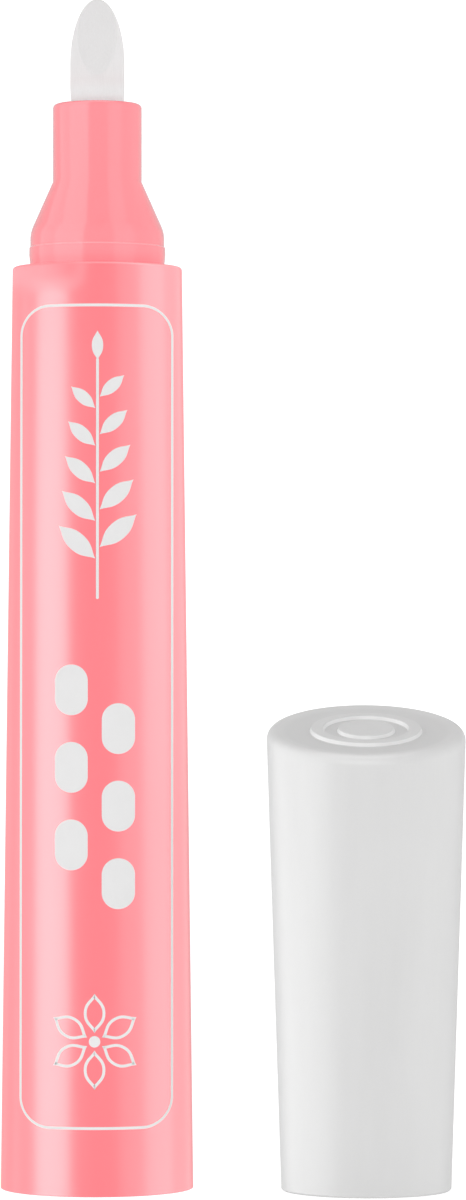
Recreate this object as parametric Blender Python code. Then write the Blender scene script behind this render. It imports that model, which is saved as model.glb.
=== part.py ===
"""A valve-fed felt-tip nail care pen, uncapped, with its cap standing beside it.

The pen stands upright on its tail plug. Its axis is +Z, and the origin is the
centre of the plug's flat face. The tapered barrel is the reservoir: the plug
closes its wide rear end, and the nose snaps into the thick lip at its mouth.
A spring holds a poppet against a soft seat behind the nib, so pressing the nib
down opens the valve. The cap is a tapered shell with a slanted, recessed end,
and a liner inside it seals on the nose.
"""

import math

import bmesh
import bpy
from mathutils import Vector

MM = 0.001

# Fits between neighbouring pieces
FIT_GAP = 0.05 * MM            # radial, between pieces pressed together
SEAT_GAP = 0.05 * MM           # axial, between faces that rest on each other
RUNNING_GAP = 0.1 * MM         # radial, round a sliding piece
STOP_GAP = 0.1 * MM            # left between the stem and its stop at full travel
CUT_OVERRUN = 1.0 * MM         # how far a cutter passes the wall that it cuts

# Nib
NIB_RADIUS = 2.18 * MM
NIB_SHANK_STEP = 0.06 * MM     # how much slimmer the hidden shank is
NIB_EXPOSED = 8.45 * MM
NIB_POINT_LENGTH = 5.3 * MM
NIB_SWELL_LOW = 0.3 * MM       # where the shank starts to swell, above the nose
NIB_SWELL_LENGTH = 0.9 * MM
NIB_REAR_CHAMFER = 0.25 * MM
NIB_BEVEL_DROP = 6.3 * MM      # from the tip down to where the slanted face starts
NIB_BEVEL_TIP_OFFSET = 0.4 * MM
NIB_TRAVEL = 1.8 * MM

# Nose, built up from the barrel's shoulder
NOSE_COLLAR_HEIGHT = 2.75 * MM
NOSE_CONE_HEIGHT = 4.05 * MM
NOSE_TUBE_HEIGHT = 6.25 * MM
NOSE_TUBE_WALL = 1.28 * MM
NOSE_EDGE_ROUND = 0.4 * MM
NOSE_BLEND_RADIUS = 3.0 * MM
COLLAR_STEP = 0.4 * MM         # the shoulder that rests on the barrel's mouth
BEAD_PROUD = 0.09 * MM
BEAD_LOW_HEIGHT = 0.5 * MM
BEAD_HIGH_HEIGHT = 1.6 * MM
BARB_PROUD = 0.3 * MM
BARB_CLEAR = 0.1 * MM
BARB_LAND = 0.5 * MM
BARB_RAMP = 0.9 * MM
SKIRT_DEPTH = 7.0 * MM
SKIRT_WALL = 0.65 * MM
CHAMBER_FLOOR_HEIGHT = 0.8 * MM
CHAMBER_CLEARANCE = 0.4 * MM
CHAMBER_HEADROOM = 0.6 * MM
CHAMBER_ROOF_HEIGHT = 0.9 * MM
NIB_MOUTH_CHAMFER = 0.15 * MM

# Valve
SEAT_THICKNESS = 1.6 * MM
SEAT_LEDGE = 1.2 * MM          # how far the chamber's floor reaches over the seat
SEAT_HOLE_CLEARANCE = 0.6 * MM
SEAT_CONE_DEPTH = 0.8 * MM
STEM_RADIUS = 0.9 * MM
STEM_CUP_WALL = 0.5 * MM
STEM_CUP_FLOOR = 0.8 * MM
STEM_CUP_DEPTH = 0.8 * MM
STEM_SLOT_WIDTH = 0.8 * MM
POPPET_SKIRT = 0.4 * MM
POPPET_LAND = 0.8 * MM
PIN_RADIUS = 1.2 * MM
PIN_LENGTH = 3.6 * MM
PIN_ROUND = 0.3 * MM
CAGE_LENGTH = 10.0 * MM
CAGE_WALL = 0.75 * MM
CAGE_FLOOR = 0.8 * MM
CAGE_FLOOR_HOLE_RADIUS = 0.8 * MM
CAGE_FLANGE_THICKNESS = 0.6 * MM
CAGE_WINDOW_WIDTH = 2.4 * MM
CAGE_WINDOW_MARGIN = 0.25 * MM
SPRING_WIRE_RADIUS = 0.2 * MM
SPRING_PIN_CLEARANCE = 0.45 * MM
SPRING_TURNS = 6.5

# Barrel
BARREL_LENGTH = 73.65 * MM
BARREL_FLARE = 0.92 * MM       # how much wider the base is than the mouth, in radius
BARREL_WALL = 1.2 * MM
BARREL_EDGE_ROUND = 0.35 * MM  # at its mouth
BARREL_BASE_ROUND = 0.15 * MM
MOUTH_LIP_LENGTH = 3.0 * MM
MOUTH_CHAMFER = 0.12 * MM
LIP_ROUND = 0.4 * MM

# Tail plug
PLUG_SEAT_DEPTH = 5.0 * MM
PLUG_SEAT_STEP = 0.15 * MM
PLUG_FACE = 1.4 * MM
PLUG_SKIRT_WALL = 0.9 * MM
PLUG_EDGE_CHAMFER = 0.25 * MM
PLUG_INNER_ROUND = 0.5 * MM

# Cap, with heights measured up from its mouth
CAP_LENGTH = 36.65 * MM        # to the slanted end, on the axis
CAP_SLANT = math.radians(14.3)
CAP_FLARE = 1.18 * MM          # how much wider the slanted end is than the mouth, in radius
CAP_MOUTH_WALL = 1.35 * MM
CAP_EDGE_ROUND = 0.8 * MM
CAP_MOUTH_ROUND = 0.12 * MM
CAP_RIM_WIDTH = 1.25 * MM
CAP_RECESS_DEPTH = 0.42 * MM
CAP_RECESS_BEVEL = 0.3 * MM
CAP_END_THICKNESS = 1.5 * MM
CAP_GAP = 0.06 * MM            # radial, between the cap and the nose that it closes on
CAP_LEAD_CHAMFER = 0.15 * MM
CAP_GROOVE_MARGIN = 0.1 * MM
CAP_DRAFT = 0.15 * MM          # how much the bore narrows on its way to the liner's seat
CAP_DEEP_DRAFT = 0.25 * MM     # and from there to its roof
CAP_RIB_COUNT = 6
CAP_RIB_WIDTH = 0.9 * MM
CAP_RIB_PROUD = 0.5 * MM
CAP_STAND_X = 21.5 * MM        # where the cap stands, from the pen's axis
CAP_STAND_Y = -1.8 * MM

# Cap liner, with heights measured up from the cap's mouth
LINER_SEAT_HEIGHT = 9.6 * MM
LINER_FLANGE = 0.9 * MM
LINER_WALL = 0.8 * MM
LINER_LEAD_CHAMFER = 0.3 * MM
LINER_TOP_CLEARANCE = 1.1 * MM
LINER_NOSE_CLEARANCE = 0.5 * MM
LINER_NIB_CLEARANCE = 0.8 * MM
LINER_ROUND = 0.6 * MM

# Facets
WIDE_STEPS = 48
NARROW_STEPS = 32
ARC_STEPS = 3
BEAD_STEPS = 6
POINT_STEPS = 9
SPRING_POINTS_PER_TURN = 10
MERGE_DISTANCE = 0.0001 * MM

# Colours, as linear red, green and blue
PINK = (1.0, 0.27, 0.3)
WHITE = (0.79, 0.79, 0.785)
FELT = (0.8, 0.795, 0.79)
NATURAL = (0.72, 0.73, 0.7)
SEAL_GREY = (0.3, 0.31, 0.32)
STEEL = (0.55, 0.55, 0.57)

# Radii, worked outwards from the nib
NIB_SHANK_RADIUS = NIB_RADIUS - NIB_SHANK_STEP
NIB_BORE_RADIUS = NIB_RADIUS + RUNNING_GAP
NOSE_TUBE_RADIUS = NIB_BORE_RADIUS + NOSE_TUBE_WALL
CUP_BORE_RADIUS = NIB_SHANK_RADIUS + RUNNING_GAP
CUP_RADIUS = CUP_BORE_RADIUS + STEM_CUP_WALL
CHAMBER_RADIUS = CUP_RADIUS + CHAMBER_CLEARANCE
SKIRT_BORE_RADIUS = CHAMBER_RADIUS + SEAT_LEDGE
NECK_RADIUS = SKIRT_BORE_RADIUS + SKIRT_WALL
MOUTH_RADIUS = NECK_RADIUS + FIT_GAP
COLLAR_RADIUS = NECK_RADIUS + COLLAR_STEP
CAP_LIP_RADIUS = COLLAR_RADIUS + CAP_GAP
CAP_MOUTH_RADIUS = CAP_LIP_RADIUS + CAP_MOUTH_WALL
BARREL_TOP_RADIUS = CAP_MOUTH_RADIUS
BARREL_BASE_RADIUS = BARREL_TOP_RADIUS + BARREL_FLARE
SEAT_OUTER_RADIUS = SKIRT_BORE_RADIUS - FIT_GAP
SEAT_HOLE_RADIUS = STEM_RADIUS + SEAT_HOLE_CLEARANCE
SEAT_CONE_RADIUS = SEAT_HOLE_RADIUS + SEAT_CONE_DEPTH
CAGE_BORE_RADIUS = SEAT_OUTER_RADIUS - CAGE_WALL
SPRING_COIL_RADIUS = PIN_RADIUS + SPRING_PIN_CLEARANCE + SPRING_WIRE_RADIUS
CAP_SEAT_RADIUS = CAP_LIP_RADIUS - CAP_DRAFT

# Heights on the pen
NOSE_BASE_Z = BARREL_LENGTH + SEAT_GAP
NOSE_LENGTH = NOSE_COLLAR_HEIGHT + NOSE_CONE_HEIGHT + NOSE_TUBE_HEIGHT
NOSE_TOP_Z = NOSE_BASE_Z + NOSE_LENGTH
SKIRT_END_Z = NOSE_BASE_Z - SKIRT_DEPTH
CHAMBER_FLOOR_Z = NOSE_BASE_Z + CHAMBER_FLOOR_HEIGHT
CUP_BOTTOM_Z = CHAMBER_FLOOR_Z + NIB_TRAVEL + STOP_GAP
CUP_FLOOR_Z = CUP_BOTTOM_Z + STEM_CUP_FLOOR
CUP_TOP_Z = CUP_FLOOR_Z + STEM_CUP_DEPTH
CHAMBER_TOP_Z = CUP_TOP_Z + CHAMBER_HEADROOM
NIB_REAR_Z = CUP_FLOOR_Z + SEAT_GAP
NIB_TIP_Z = NOSE_TOP_Z + NIB_EXPOSED
SEAT_TOP_Z = CHAMBER_FLOOR_Z - SEAT_GAP
SEAT_BOTTOM_Z = SEAT_TOP_Z - SEAT_THICKNESS
POPPET_BOTTOM_Z = SEAT_BOTTOM_Z - POPPET_SKIRT - POPPET_LAND
CAGE_TOP_Z = SEAT_BOTTOM_Z - SEAT_GAP
CAGE_BOTTOM_Z = CAGE_TOP_Z - CAGE_LENGTH
CAGE_FLOOR_Z = CAGE_BOTTOM_Z + CAGE_FLOOR


def barrel_radius(height):
    """Outer radius of the tapered barrel at a height above its base."""
    return BARREL_BASE_RADIUS - BARREL_FLARE * height / BARREL_LENGTH


def plug_seat_radius():
    """Radius of the counterbore at the barrel's rear that takes the tail plug."""
    return barrel_radius(PLUG_SEAT_DEPTH) - BARREL_WALL + PLUG_SEAT_STEP


def plastic(name, colour, roughness, metallic=0.0):
    """A material of one colour."""
    material = bpy.data.materials.new(name)
    material.use_nodes = True
    shader = material.node_tree.nodes["Principled BSDF"]
    shader.inputs["Base Color"].default_value = (*colour, 1.0)
    shader.inputs["Roughness"].default_value = roughness
    shader.inputs["Metallic"].default_value = metallic
    material.diffuse_color = (*colour, 1.0)
    return material


def empty(name, place, parent=None):
    """An empty that carries the pieces of one moving body."""
    carrier = bpy.data.objects.new(name, None)
    bpy.context.scene.collection.objects.link(carrier)
    carrier.location = place
    carrier.parent = parent
    return carrier


def rounded(corners):
    """The points of a closed outline of (radius, height, rounding) corners.

    A corner with a rounding becomes an arc of that radius, as far as its two sides have room.
    """
    points = []
    for index, (radius, height, rounding) in enumerate(corners):
        here = Vector((radius, height))
        if not rounding:
            points.append(here)
            continue
        before = Vector(corners[index - 1][:2]) - here
        after = Vector(corners[(index + 1) % len(corners)][:2]) - here
        half = before.angle(after) / 2
        room = min(before.length, after.length) / 2
        reach = min(rounding / math.tan(half), room)
        bisector = (before.normalized() + after.normalized()).normalized()
        centre = here + bisector * (reach / math.cos(half))
        start = here + before.normalized() * reach - centre
        end = here + after.normalized() * reach - centre
        turn = start.angle_signed(end)
        for step in range(ARC_STEPS + 1):
            angle = turn * step / ARC_STEPS
            across = start.x * math.cos(angle) + start.y * math.sin(angle)
            along = start.y * math.cos(angle) - start.x * math.sin(angle)
            points.append(centre + Vector((across, along)))
    return points


def turned(outline, steps):
    """A bmesh of an outline of (radius, height) points turned once round +Z.

    An outline that starts and ends on the axis stays open there, and any other is closed.
    """
    shape = bmesh.new()
    verts = [shape.verts.new((radius, 0, height)) for radius, height in outline]
    pairs = list(zip(verts, verts[1:]))
    on_axis = outline[0][0] == 0 and outline[-1][0] == 0
    if not on_axis:
        pairs.append((verts[-1], verts[0]))
    edges = [shape.edges.new(pair) for pair in pairs]
    bmesh.ops.spin(
        shape, geom=verts + edges, cent=(0, 0, 0), axis=(0, 0, 1), angle=math.tau, steps=steps, use_merge=True
    )
    bmesh.ops.remove_doubles(shape, verts=shape.verts, dist=MERGE_DISTANCE)
    bmesh.ops.recalc_face_normals(shape, faces=shape.faces)
    return shape


def block(width, depth, bottom, top):
    """A bmesh of an upright box centred on +Z."""
    shape = bmesh.new()
    bmesh.ops.create_cube(shape, size=1)
    bmesh.ops.scale(shape, vec=(width, depth, top - bottom), verts=shape.verts)
    bmesh.ops.translate(shape, vec=(0, 0, (top + bottom) / 2), verts=shape.verts)
    return shape


def cut_and_cap(shape, point, normal):
    """Cuts off what lies beyond a plane and closes the cut, and returns the new flat face."""
    bmesh.ops.bisect_plane(
        shape,
        geom=shape.verts[:] + shape.edges[:] + shape.faces[:],
        dist=MERGE_DISTANCE,
        plane_co=point,
        plane_no=normal,
        clear_outer=True,
    )
    rim = [edge for edge in shape.edges if edge.is_boundary]
    face = bmesh.ops.contextual_create(shape, geom=rim)["faces"][0]
    bmesh.ops.recalc_face_normals(shape, faces=shape.faces)
    return face


def add_object(shape, name, parent, origin=None):
    """An object of a bmesh under a carrier, with its mesh in the carrier's frame.

    A bmesh that was made in the pen's frame names its origin there.
    """
    if origin is not None:
        bmesh.ops.translate(shape, verts=shape.verts, vec=-Vector(origin))
    mesh = bpy.data.meshes.new(name)
    shape.to_mesh(mesh)
    shape.free()
    made = bpy.data.objects.new(name, mesh)
    bpy.context.scene.collection.objects.link(made)
    made.parent = parent
    return made


def finish(piece, material):
    """Gives a round piece its smooth shading and its material."""
    piece.data.shade_smooth()
    piece.data.set_sharp_from_angle(angle=math.radians(30))
    piece.data.materials.append(material)
    return piece


def cut_away(piece, cutter):
    """Takes a hidden cutter's shape away from a piece."""
    cutter.hide_render = True
    cutter.display_type = "WIRE"
    cut = piece.modifiers.new(cutter.name, "BOOLEAN")
    cut.operation = "DIFFERENCE"
    cut.object = cutter


def cut_cross(piece, width, reach, bottom, top):
    """Cuts two upright slots, square to each other, right across a turned piece."""
    for index in range(2):
        slot = block(2 * reach, width, bottom, top)
        cutter = add_object(slot, f"{piece.name}_slot_{index}", piece.parent, piece.parent.location)
        cutter.rotation_euler.z = math.tau / 4 * index
        cut_away(piece, cutter)


def make_barrel(parent):
    """The tapered tube: a plug seat at its rear, the reservoir, and a thick lip at its mouth."""
    seat_radius = plug_seat_radius()
    lip_bottom = BARREL_LENGTH - MOUTH_LIP_LENGTH
    outline = rounded([
        (seat_radius + PLUG_EDGE_CHAMFER, 0, 0),
        (BARREL_BASE_RADIUS, 0, BARREL_BASE_ROUND),
        (BARREL_TOP_RADIUS, BARREL_LENGTH, BARREL_EDGE_ROUND),
        (MOUTH_RADIUS + MOUTH_CHAMFER, BARREL_LENGTH, 0),
        (MOUTH_RADIUS, BARREL_LENGTH - MOUTH_CHAMFER, 0),
        (MOUTH_RADIUS, lip_bottom, 0),
        (barrel_radius(lip_bottom) - BARREL_WALL, lip_bottom, LIP_ROUND),
        (barrel_radius(PLUG_SEAT_DEPTH) - BARREL_WALL, PLUG_SEAT_DEPTH, 0),
        (seat_radius, PLUG_SEAT_DEPTH, 0),
        (seat_radius, PLUG_EDGE_CHAMFER, 0),
    ])
    barrel = add_object(turned(outline, WIDE_STEPS), "barrel", parent)
    finish(barrel, plastic("barrel_pink", PINK, 0.35))


def make_tail_plug(parent):
    """The cup-shaped plug that closes the barrel's rear, flush with its end."""
    radius = plug_seat_radius() - FIT_GAP
    top = PLUG_SEAT_DEPTH - SEAT_GAP
    outline = rounded([
        (0, 0, 0),
        (radius - PLUG_EDGE_CHAMFER, 0, 0),
        (radius, PLUG_EDGE_CHAMFER, 0),
        (radius, top, PLUG_EDGE_CHAMFER),
        (radius - PLUG_SKIRT_WALL, top, 0),
        (radius - PLUG_SKIRT_WALL, PLUG_FACE, PLUG_INNER_ROUND),
        (0, PLUG_FACE, 0),
    ])
    plug = add_object(turned(outline, WIDE_STEPS), "tail_plug", parent)
    finish(plug, plastic("plug_pink", PINK, 0.4))


def bead_points():
    """The snap bead round the collar, from its top line down to its foot."""
    middle = NOSE_BASE_Z + (BEAD_LOW_HEIGHT + BEAD_HIGH_HEIGHT) / 2
    half = (BEAD_HIGH_HEIGHT - BEAD_LOW_HEIGHT) / 2
    points = []
    for step in range(BEAD_STEPS + 1):
        angle = math.pi * (0.5 - step / BEAD_STEPS)
        points.append((COLLAR_RADIUS + BEAD_PROUD * math.cos(angle), middle + half * math.sin(angle)))
    return points


def nose_outside():
    """The nose's outline from its mouth down to the top of the snap bead."""
    cone_foot = NOSE_BASE_Z + NOSE_COLLAR_HEIGHT
    corners = [
        (NIB_BORE_RADIUS, CHAMBER_TOP_Z + CHAMBER_ROOF_HEIGHT, 0),
        (NIB_BORE_RADIUS, NOSE_TOP_Z - NIB_MOUTH_CHAMFER, 0),
        (NIB_BORE_RADIUS + NIB_MOUTH_CHAMFER, NOSE_TOP_Z, 0),
        (NOSE_TUBE_RADIUS, NOSE_TOP_Z, NOSE_EDGE_ROUND),
        (NOSE_TUBE_RADIUS, cone_foot + NOSE_CONE_HEIGHT, 0),
        (COLLAR_RADIUS, cone_foot, NOSE_BLEND_RADIUS),
        (COLLAR_RADIUS, NOSE_BASE_Z + BEAD_HIGH_HEIGHT, 0),
    ]
    return rounded(corners)[:-1]


def nose_inside():
    """The nose's outline below the bead: shoulder, barb, skirt, seat ledge and nib chamber."""
    barb_top = BARREL_LENGTH - MOUTH_LIP_LENGTH - BARB_CLEAR
    barb_foot = barb_top - BARB_LAND
    return [
        (COLLAR_RADIUS, NOSE_BASE_Z),
        (NECK_RADIUS, NOSE_BASE_Z),
        (NECK_RADIUS, barb_top),
        (NECK_RADIUS + BARB_PROUD, barb_top),
        (NECK_RADIUS + BARB_PROUD, barb_foot),
        (NECK_RADIUS, barb_foot - BARB_RAMP),
        (NECK_RADIUS, SKIRT_END_Z),
        (SKIRT_BORE_RADIUS, SKIRT_END_Z),
        (SKIRT_BORE_RADIUS, CHAMBER_FLOOR_Z),
        (CHAMBER_RADIUS, CHAMBER_FLOOR_Z),
        (CHAMBER_RADIUS, CHAMBER_TOP_Z),
    ]


def make_nose(parent):
    """The front piece: nib tube, cone, collar with a snap bead, and a barbed skirt inside the barrel."""
    outline = nose_outside() + bead_points() + nose_inside()
    nose = add_object(turned(outline, WIDE_STEPS), "nose", parent)
    finish(nose, plastic("nose_pink", PINK, 0.3))


def make_valve_seat(parent):
    """The soft disc whose coned hole the poppet closes."""
    outline = [
        (SEAT_HOLE_RADIUS, SEAT_TOP_Z),
        (SEAT_OUTER_RADIUS, SEAT_TOP_Z),
        (SEAT_OUTER_RADIUS, SEAT_BOTTOM_Z),
        (SEAT_CONE_RADIUS, SEAT_BOTTOM_Z),
        (SEAT_HOLE_RADIUS, SEAT_BOTTOM_Z + SEAT_CONE_DEPTH),
    ]
    seat = add_object(turned(outline, NARROW_STEPS), "valve_seat", parent)
    finish(seat, plastic("seat_rubber", SEAL_GREY, 0.6))


def make_valve_cage(parent):
    """The slotted cup pressed into the nose's skirt, which holds the seat up and the spring in."""
    flange_top = SKIRT_END_Z - SEAT_GAP
    flange_bottom = flange_top - CAGE_FLANGE_THICKNESS
    outline = [
        (CAGE_FLOOR_HOLE_RADIUS, CAGE_FLOOR_Z),
        (CAGE_BORE_RADIUS, CAGE_FLOOR_Z),
        (CAGE_BORE_RADIUS, CAGE_TOP_Z),
        (SEAT_OUTER_RADIUS, CAGE_TOP_Z),
        (SEAT_OUTER_RADIUS, flange_top),
        (NECK_RADIUS, flange_top),
        (NECK_RADIUS, flange_bottom),
        (SEAT_OUTER_RADIUS, flange_bottom),
        (SEAT_OUTER_RADIUS, CAGE_BOTTOM_Z),
        (CAGE_FLOOR_HOLE_RADIUS, CAGE_BOTTOM_Z),
    ]
    cage = add_object(turned(outline, NARROW_STEPS), "valve_cage", parent)
    cut_cross(
        cage,
        CAGE_WINDOW_WIDTH,
        NECK_RADIUS + CUT_OVERRUN,
        CAGE_FLOOR_Z + CAGE_WINDOW_MARGIN,
        flange_bottom - CAGE_WINDOW_MARGIN,
    )
    finish(cage, plastic("cage_natural", NATURAL, 0.45))


def spring_points():
    """Points along the spring's wire, from the cage's floor up to the poppet."""
    low = CAGE_FLOOR_Z + SEAT_GAP + SPRING_WIRE_RADIUS
    high = POPPET_BOTTOM_Z - SEAT_GAP - SPRING_WIRE_RADIUS
    count = round(SPRING_TURNS * SPRING_POINTS_PER_TURN)
    points = []
    for index in range(count + 1):
        share = index / count
        angle = math.tau * SPRING_TURNS * share
        points.append(Vector((
            SPRING_COIL_RADIUS * math.cos(angle),
            SPRING_COIL_RADIUS * math.sin(angle),
            low + (high - low) * share,
        )))
    return points


def least_gap(points):
    """The least clear distance between points of the wire at least half a turn apart."""
    apart = SPRING_POINTS_PER_TURN // 2
    nearest = min(
        (later - earlier).length
        for index, earlier in enumerate(points)
        for later in points[index + apart:]
    )
    return nearest - 2 * SPRING_WIRE_RADIUS


def make_valve_spring(parent):
    """The compression spring between the cage's floor and the poppet, as one helix of wire."""
    points = spring_points()
    print(f"valve spring: least gap to itself {least_gap(points) / MM:.2f} mm")
    wire = bpy.data.curves.new("valve_spring", "CURVE")
    wire.dimensions = "3D"
    wire.bevel_depth = SPRING_WIRE_RADIUS
    wire.bevel_resolution = 1
    wire.use_fill_caps = True
    line = wire.splines.new("POLY")
    line.points.add(len(points) - 1)
    for target, point in zip(line.points, points):
        target.co = (*point, 1)
    wire.materials.append(plastic("spring_steel", STEEL, 0.25, 1.0))
    spring = bpy.data.objects.new("valve_spring", wire)
    bpy.context.scene.collection.objects.link(spring)
    spring.parent = parent


def nib_outline():
    """The nib's outline: chamfered rear, shank, slight swell, and an elliptical point."""
    swell_z = NOSE_TOP_Z + NIB_SWELL_LOW
    outline = [
        (0, NIB_REAR_Z),
        (NIB_SHANK_RADIUS - NIB_REAR_CHAMFER, NIB_REAR_Z),
        (NIB_SHANK_RADIUS, NIB_REAR_Z + NIB_REAR_CHAMFER),
        (NIB_SHANK_RADIUS, swell_z),
        (NIB_RADIUS, swell_z + NIB_SWELL_LENGTH),
    ]
    point_base = NIB_TIP_Z - NIB_POINT_LENGTH
    for step in range(POINT_STEPS):
        angle = math.tau / 4 * step / POINT_STEPS
        outline.append((NIB_RADIUS * math.cos(angle), point_base + NIB_POINT_LENGTH * math.sin(angle)))
    outline.append((0, NIB_TIP_Z))
    return outline


def make_nib(parent):
    """The felt nib: a rod with an elliptical point, cut by one slanted face at the front."""
    shape = turned(nib_outline(), NARROW_STEPS)
    bevel_foot = Vector((0, -NIB_RADIUS, NIB_TIP_Z - NIB_BEVEL_DROP))
    bevel_top = Vector((0, -NIB_BEVEL_TIP_OFFSET, NIB_TIP_Z))
    cut_and_cap(shape, bevel_foot, Vector((1, 0, 0)).cross(bevel_top - bevel_foot))
    nib = add_object(shape, "nib", parent, parent.location)
    finish(nib, plastic("nib_felt", FELT, 0.9))


def make_valve_stem(parent):
    """The stem behind the nib: a slotted cup, a shank through the seat, the poppet and a spring pin."""
    cone_radius = SEAT_CONE_RADIUS - FIT_GAP * math.sqrt(2)
    land_radius = cone_radius + POPPET_SKIRT
    pin_bottom = POPPET_BOTTOM_Z - PIN_LENGTH
    outline = rounded([
        (0, CUP_FLOOR_Z, 0),
        (CUP_BORE_RADIUS, CUP_FLOOR_Z, 0),
        (CUP_BORE_RADIUS, CUP_TOP_Z, 0),
        (CUP_RADIUS, CUP_TOP_Z, 0),
        (CUP_RADIUS, CUP_BOTTOM_Z, 0),
        (STEM_RADIUS, CUP_BOTTOM_Z, 0),
        (STEM_RADIUS, SEAT_BOTTOM_Z + cone_radius - STEM_RADIUS, 0),
        (cone_radius, SEAT_BOTTOM_Z, 0),
        (land_radius, SEAT_BOTTOM_Z - POPPET_SKIRT, 0),
        (land_radius, POPPET_BOTTOM_Z, 0),
        (PIN_RADIUS, POPPET_BOTTOM_Z, 0),
        (PIN_RADIUS, pin_bottom, PIN_ROUND),
        (0, pin_bottom, 0),
    ])
    stem = add_object(turned(outline, NARROW_STEPS), "valve_stem", parent, parent.location)
    cut_cross(stem, STEM_SLOT_WIDTH, CUP_RADIUS + CUT_OVERRUN, CUP_FLOOR_Z, CUP_TOP_Z + CUT_OVERRUN)
    finish(stem, plastic("stem_natural", NATURAL, 0.4))


def cap_radius(height):
    """Outer radius of the tapered cap at a height above its mouth."""
    return CAP_MOUTH_RADIUS + CAP_FLARE * height / CAP_LENGTH


def cap_outside(slant_normal):
    """The cap's outer skin: a taper cut on a slant, with a rounded rim round a shallow recess."""
    tall = CAP_LENGTH + 2 * CAP_MOUTH_RADIUS * math.tan(CAP_SLANT)
    outline = rounded([
        (0, 0, 0),
        (CAP_MOUTH_RADIUS, 0, CAP_MOUTH_ROUND),
        (cap_radius(tall), tall, 0),
        (0, tall, 0),
    ])
    shape = turned(outline, WIDE_STEPS)
    end = cut_and_cap(shape, (0, 0, CAP_LENGTH), slant_normal)
    bmesh.ops.bevel(
        shape, geom=end.edges[:], offset=CAP_EDGE_ROUND, segments=ARC_STEPS, profile=0.5, affect="EDGES"
    )
    end = max(shape.faces, key=lambda face: face.calc_area())
    bmesh.ops.inset_individual(shape, faces=[end], thickness=CAP_RIM_WIDTH - CAP_EDGE_ROUND)
    bmesh.ops.inset_individual(shape, faces=[end], thickness=CAP_RECESS_BEVEL, depth=-CAP_RECESS_DEPTH)
    return shape


def cap_inside(slant_normal):
    """The cap's bore: lead-in, snap groove, liner seat, and a roof that follows the slanted end."""
    groove_low = BEAD_LOW_HEIGHT + SEAT_GAP - CAP_GROOVE_MARGIN
    groove_high = BEAD_HIGH_HEIGHT + SEAT_GAP + CAP_GROOVE_MARGIN
    groove_radius = CAP_LIP_RADIUS + BEAD_PROUD
    outline = [
        (0, -CUT_OVERRUN),
        (CAP_LIP_RADIUS + CAP_LEAD_CHAMFER + CUT_OVERRUN, -CUT_OVERRUN),
        (CAP_LIP_RADIUS, CAP_LEAD_CHAMFER),
        (CAP_LIP_RADIUS, groove_low - BEAD_PROUD),
        (groove_radius, groove_low),
        (groove_radius, groove_high),
        (CAP_LIP_RADIUS, groove_high + BEAD_PROUD),
        (CAP_SEAT_RADIUS, LINER_SEAT_HEIGHT),
        (CAP_SEAT_RADIUS - CAP_DEEP_DRAFT, CAP_LENGTH),
        (0, CAP_LENGTH),
    ]
    shape = turned(outline, WIDE_STEPS)
    roof_drop = (CAP_RECESS_DEPTH + CAP_END_THICKNESS) / math.cos(CAP_SLANT)
    cut_and_cap(shape, (0, 0, CAP_LENGTH - roof_drop), slant_normal)
    return shape


def leave_ribs(bore):
    """Leaves stop ribs uncut round the deep part of the cap's bore, for the liner to seat against."""
    rib_depth = CAP_RIB_PROUD + CUT_OVERRUN
    reach = CAP_SEAT_RADIUS + CUT_OVERRUN - rib_depth / 2
    for index in range(CAP_RIB_COUNT):
        shape = block(rib_depth, CAP_RIB_WIDTH, LINER_SEAT_HEIGHT, CAP_LENGTH + CUT_OVERRUN)
        bmesh.ops.translate(shape, vec=(reach, 0, 0), verts=shape.verts)
        rib = add_object(shape, f"cap_rib_{index}", bore.parent)
        rib.rotation_euler.z = math.tau * index / CAP_RIB_COUNT
        cut_away(bore, rib)


def make_cap_shell(parent):
    """The cap's outer shell."""
    slant_normal = (0, -math.sin(CAP_SLANT), math.cos(CAP_SLANT))
    shell = add_object(cap_outside(slant_normal), "cap_shell", parent)
    bore = add_object(cap_inside(slant_normal), "cap_bore", parent)
    leave_ribs(bore)
    cut_away(shell, bore)
    finish(shell, plastic("cap_white", WHITE, 0.4))


def make_cap_liner(parent):
    """The inner cap: a flanged sleeve that seals on the nose tube, with a closed room for the nib."""
    flange_top = LINER_SEAT_HEIGHT - SEAT_GAP
    flange_bottom = flange_top - LINER_FLANGE
    sleeve_radius = NOSE_TUBE_RADIUS + CAP_GAP
    sleeve_top = SEAT_GAP + NOSE_LENGTH + LINER_NOSE_CLEARANCE
    room_radius = NIB_RADIUS + LINER_NIB_CLEARANCE
    room_top = SEAT_GAP + NOSE_LENGTH + NIB_EXPOSED + LINER_TOP_CLEARANCE
    outline = rounded([
        (0, room_top + LINER_WALL, 0),
        (room_radius + LINER_WALL, room_top + LINER_WALL, LINER_ROUND),
        (room_radius + LINER_WALL, sleeve_top + LINER_WALL, 0),
        (sleeve_radius + LINER_WALL, sleeve_top, 0),
        (sleeve_radius + LINER_WALL, flange_top, 0),
        (CAP_SEAT_RADIUS - FIT_GAP, flange_top, 0),
        (CAP_SEAT_RADIUS - FIT_GAP, flange_bottom, 0),
        (sleeve_radius + LINER_LEAD_CHAMFER, flange_bottom, 0),
        (sleeve_radius, flange_bottom + LINER_LEAD_CHAMFER, 0),
        (sleeve_radius, sleeve_top, 0),
        (room_radius, sleeve_top, 0),
        (room_radius, room_top, LINER_ROUND),
        (0, room_top, 0),
    ])
    liner = add_object(turned(outline, NARROW_STEPS), "cap_liner", parent)
    finish(liner, plastic("liner_natural", NATURAL, 0.4))


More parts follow.
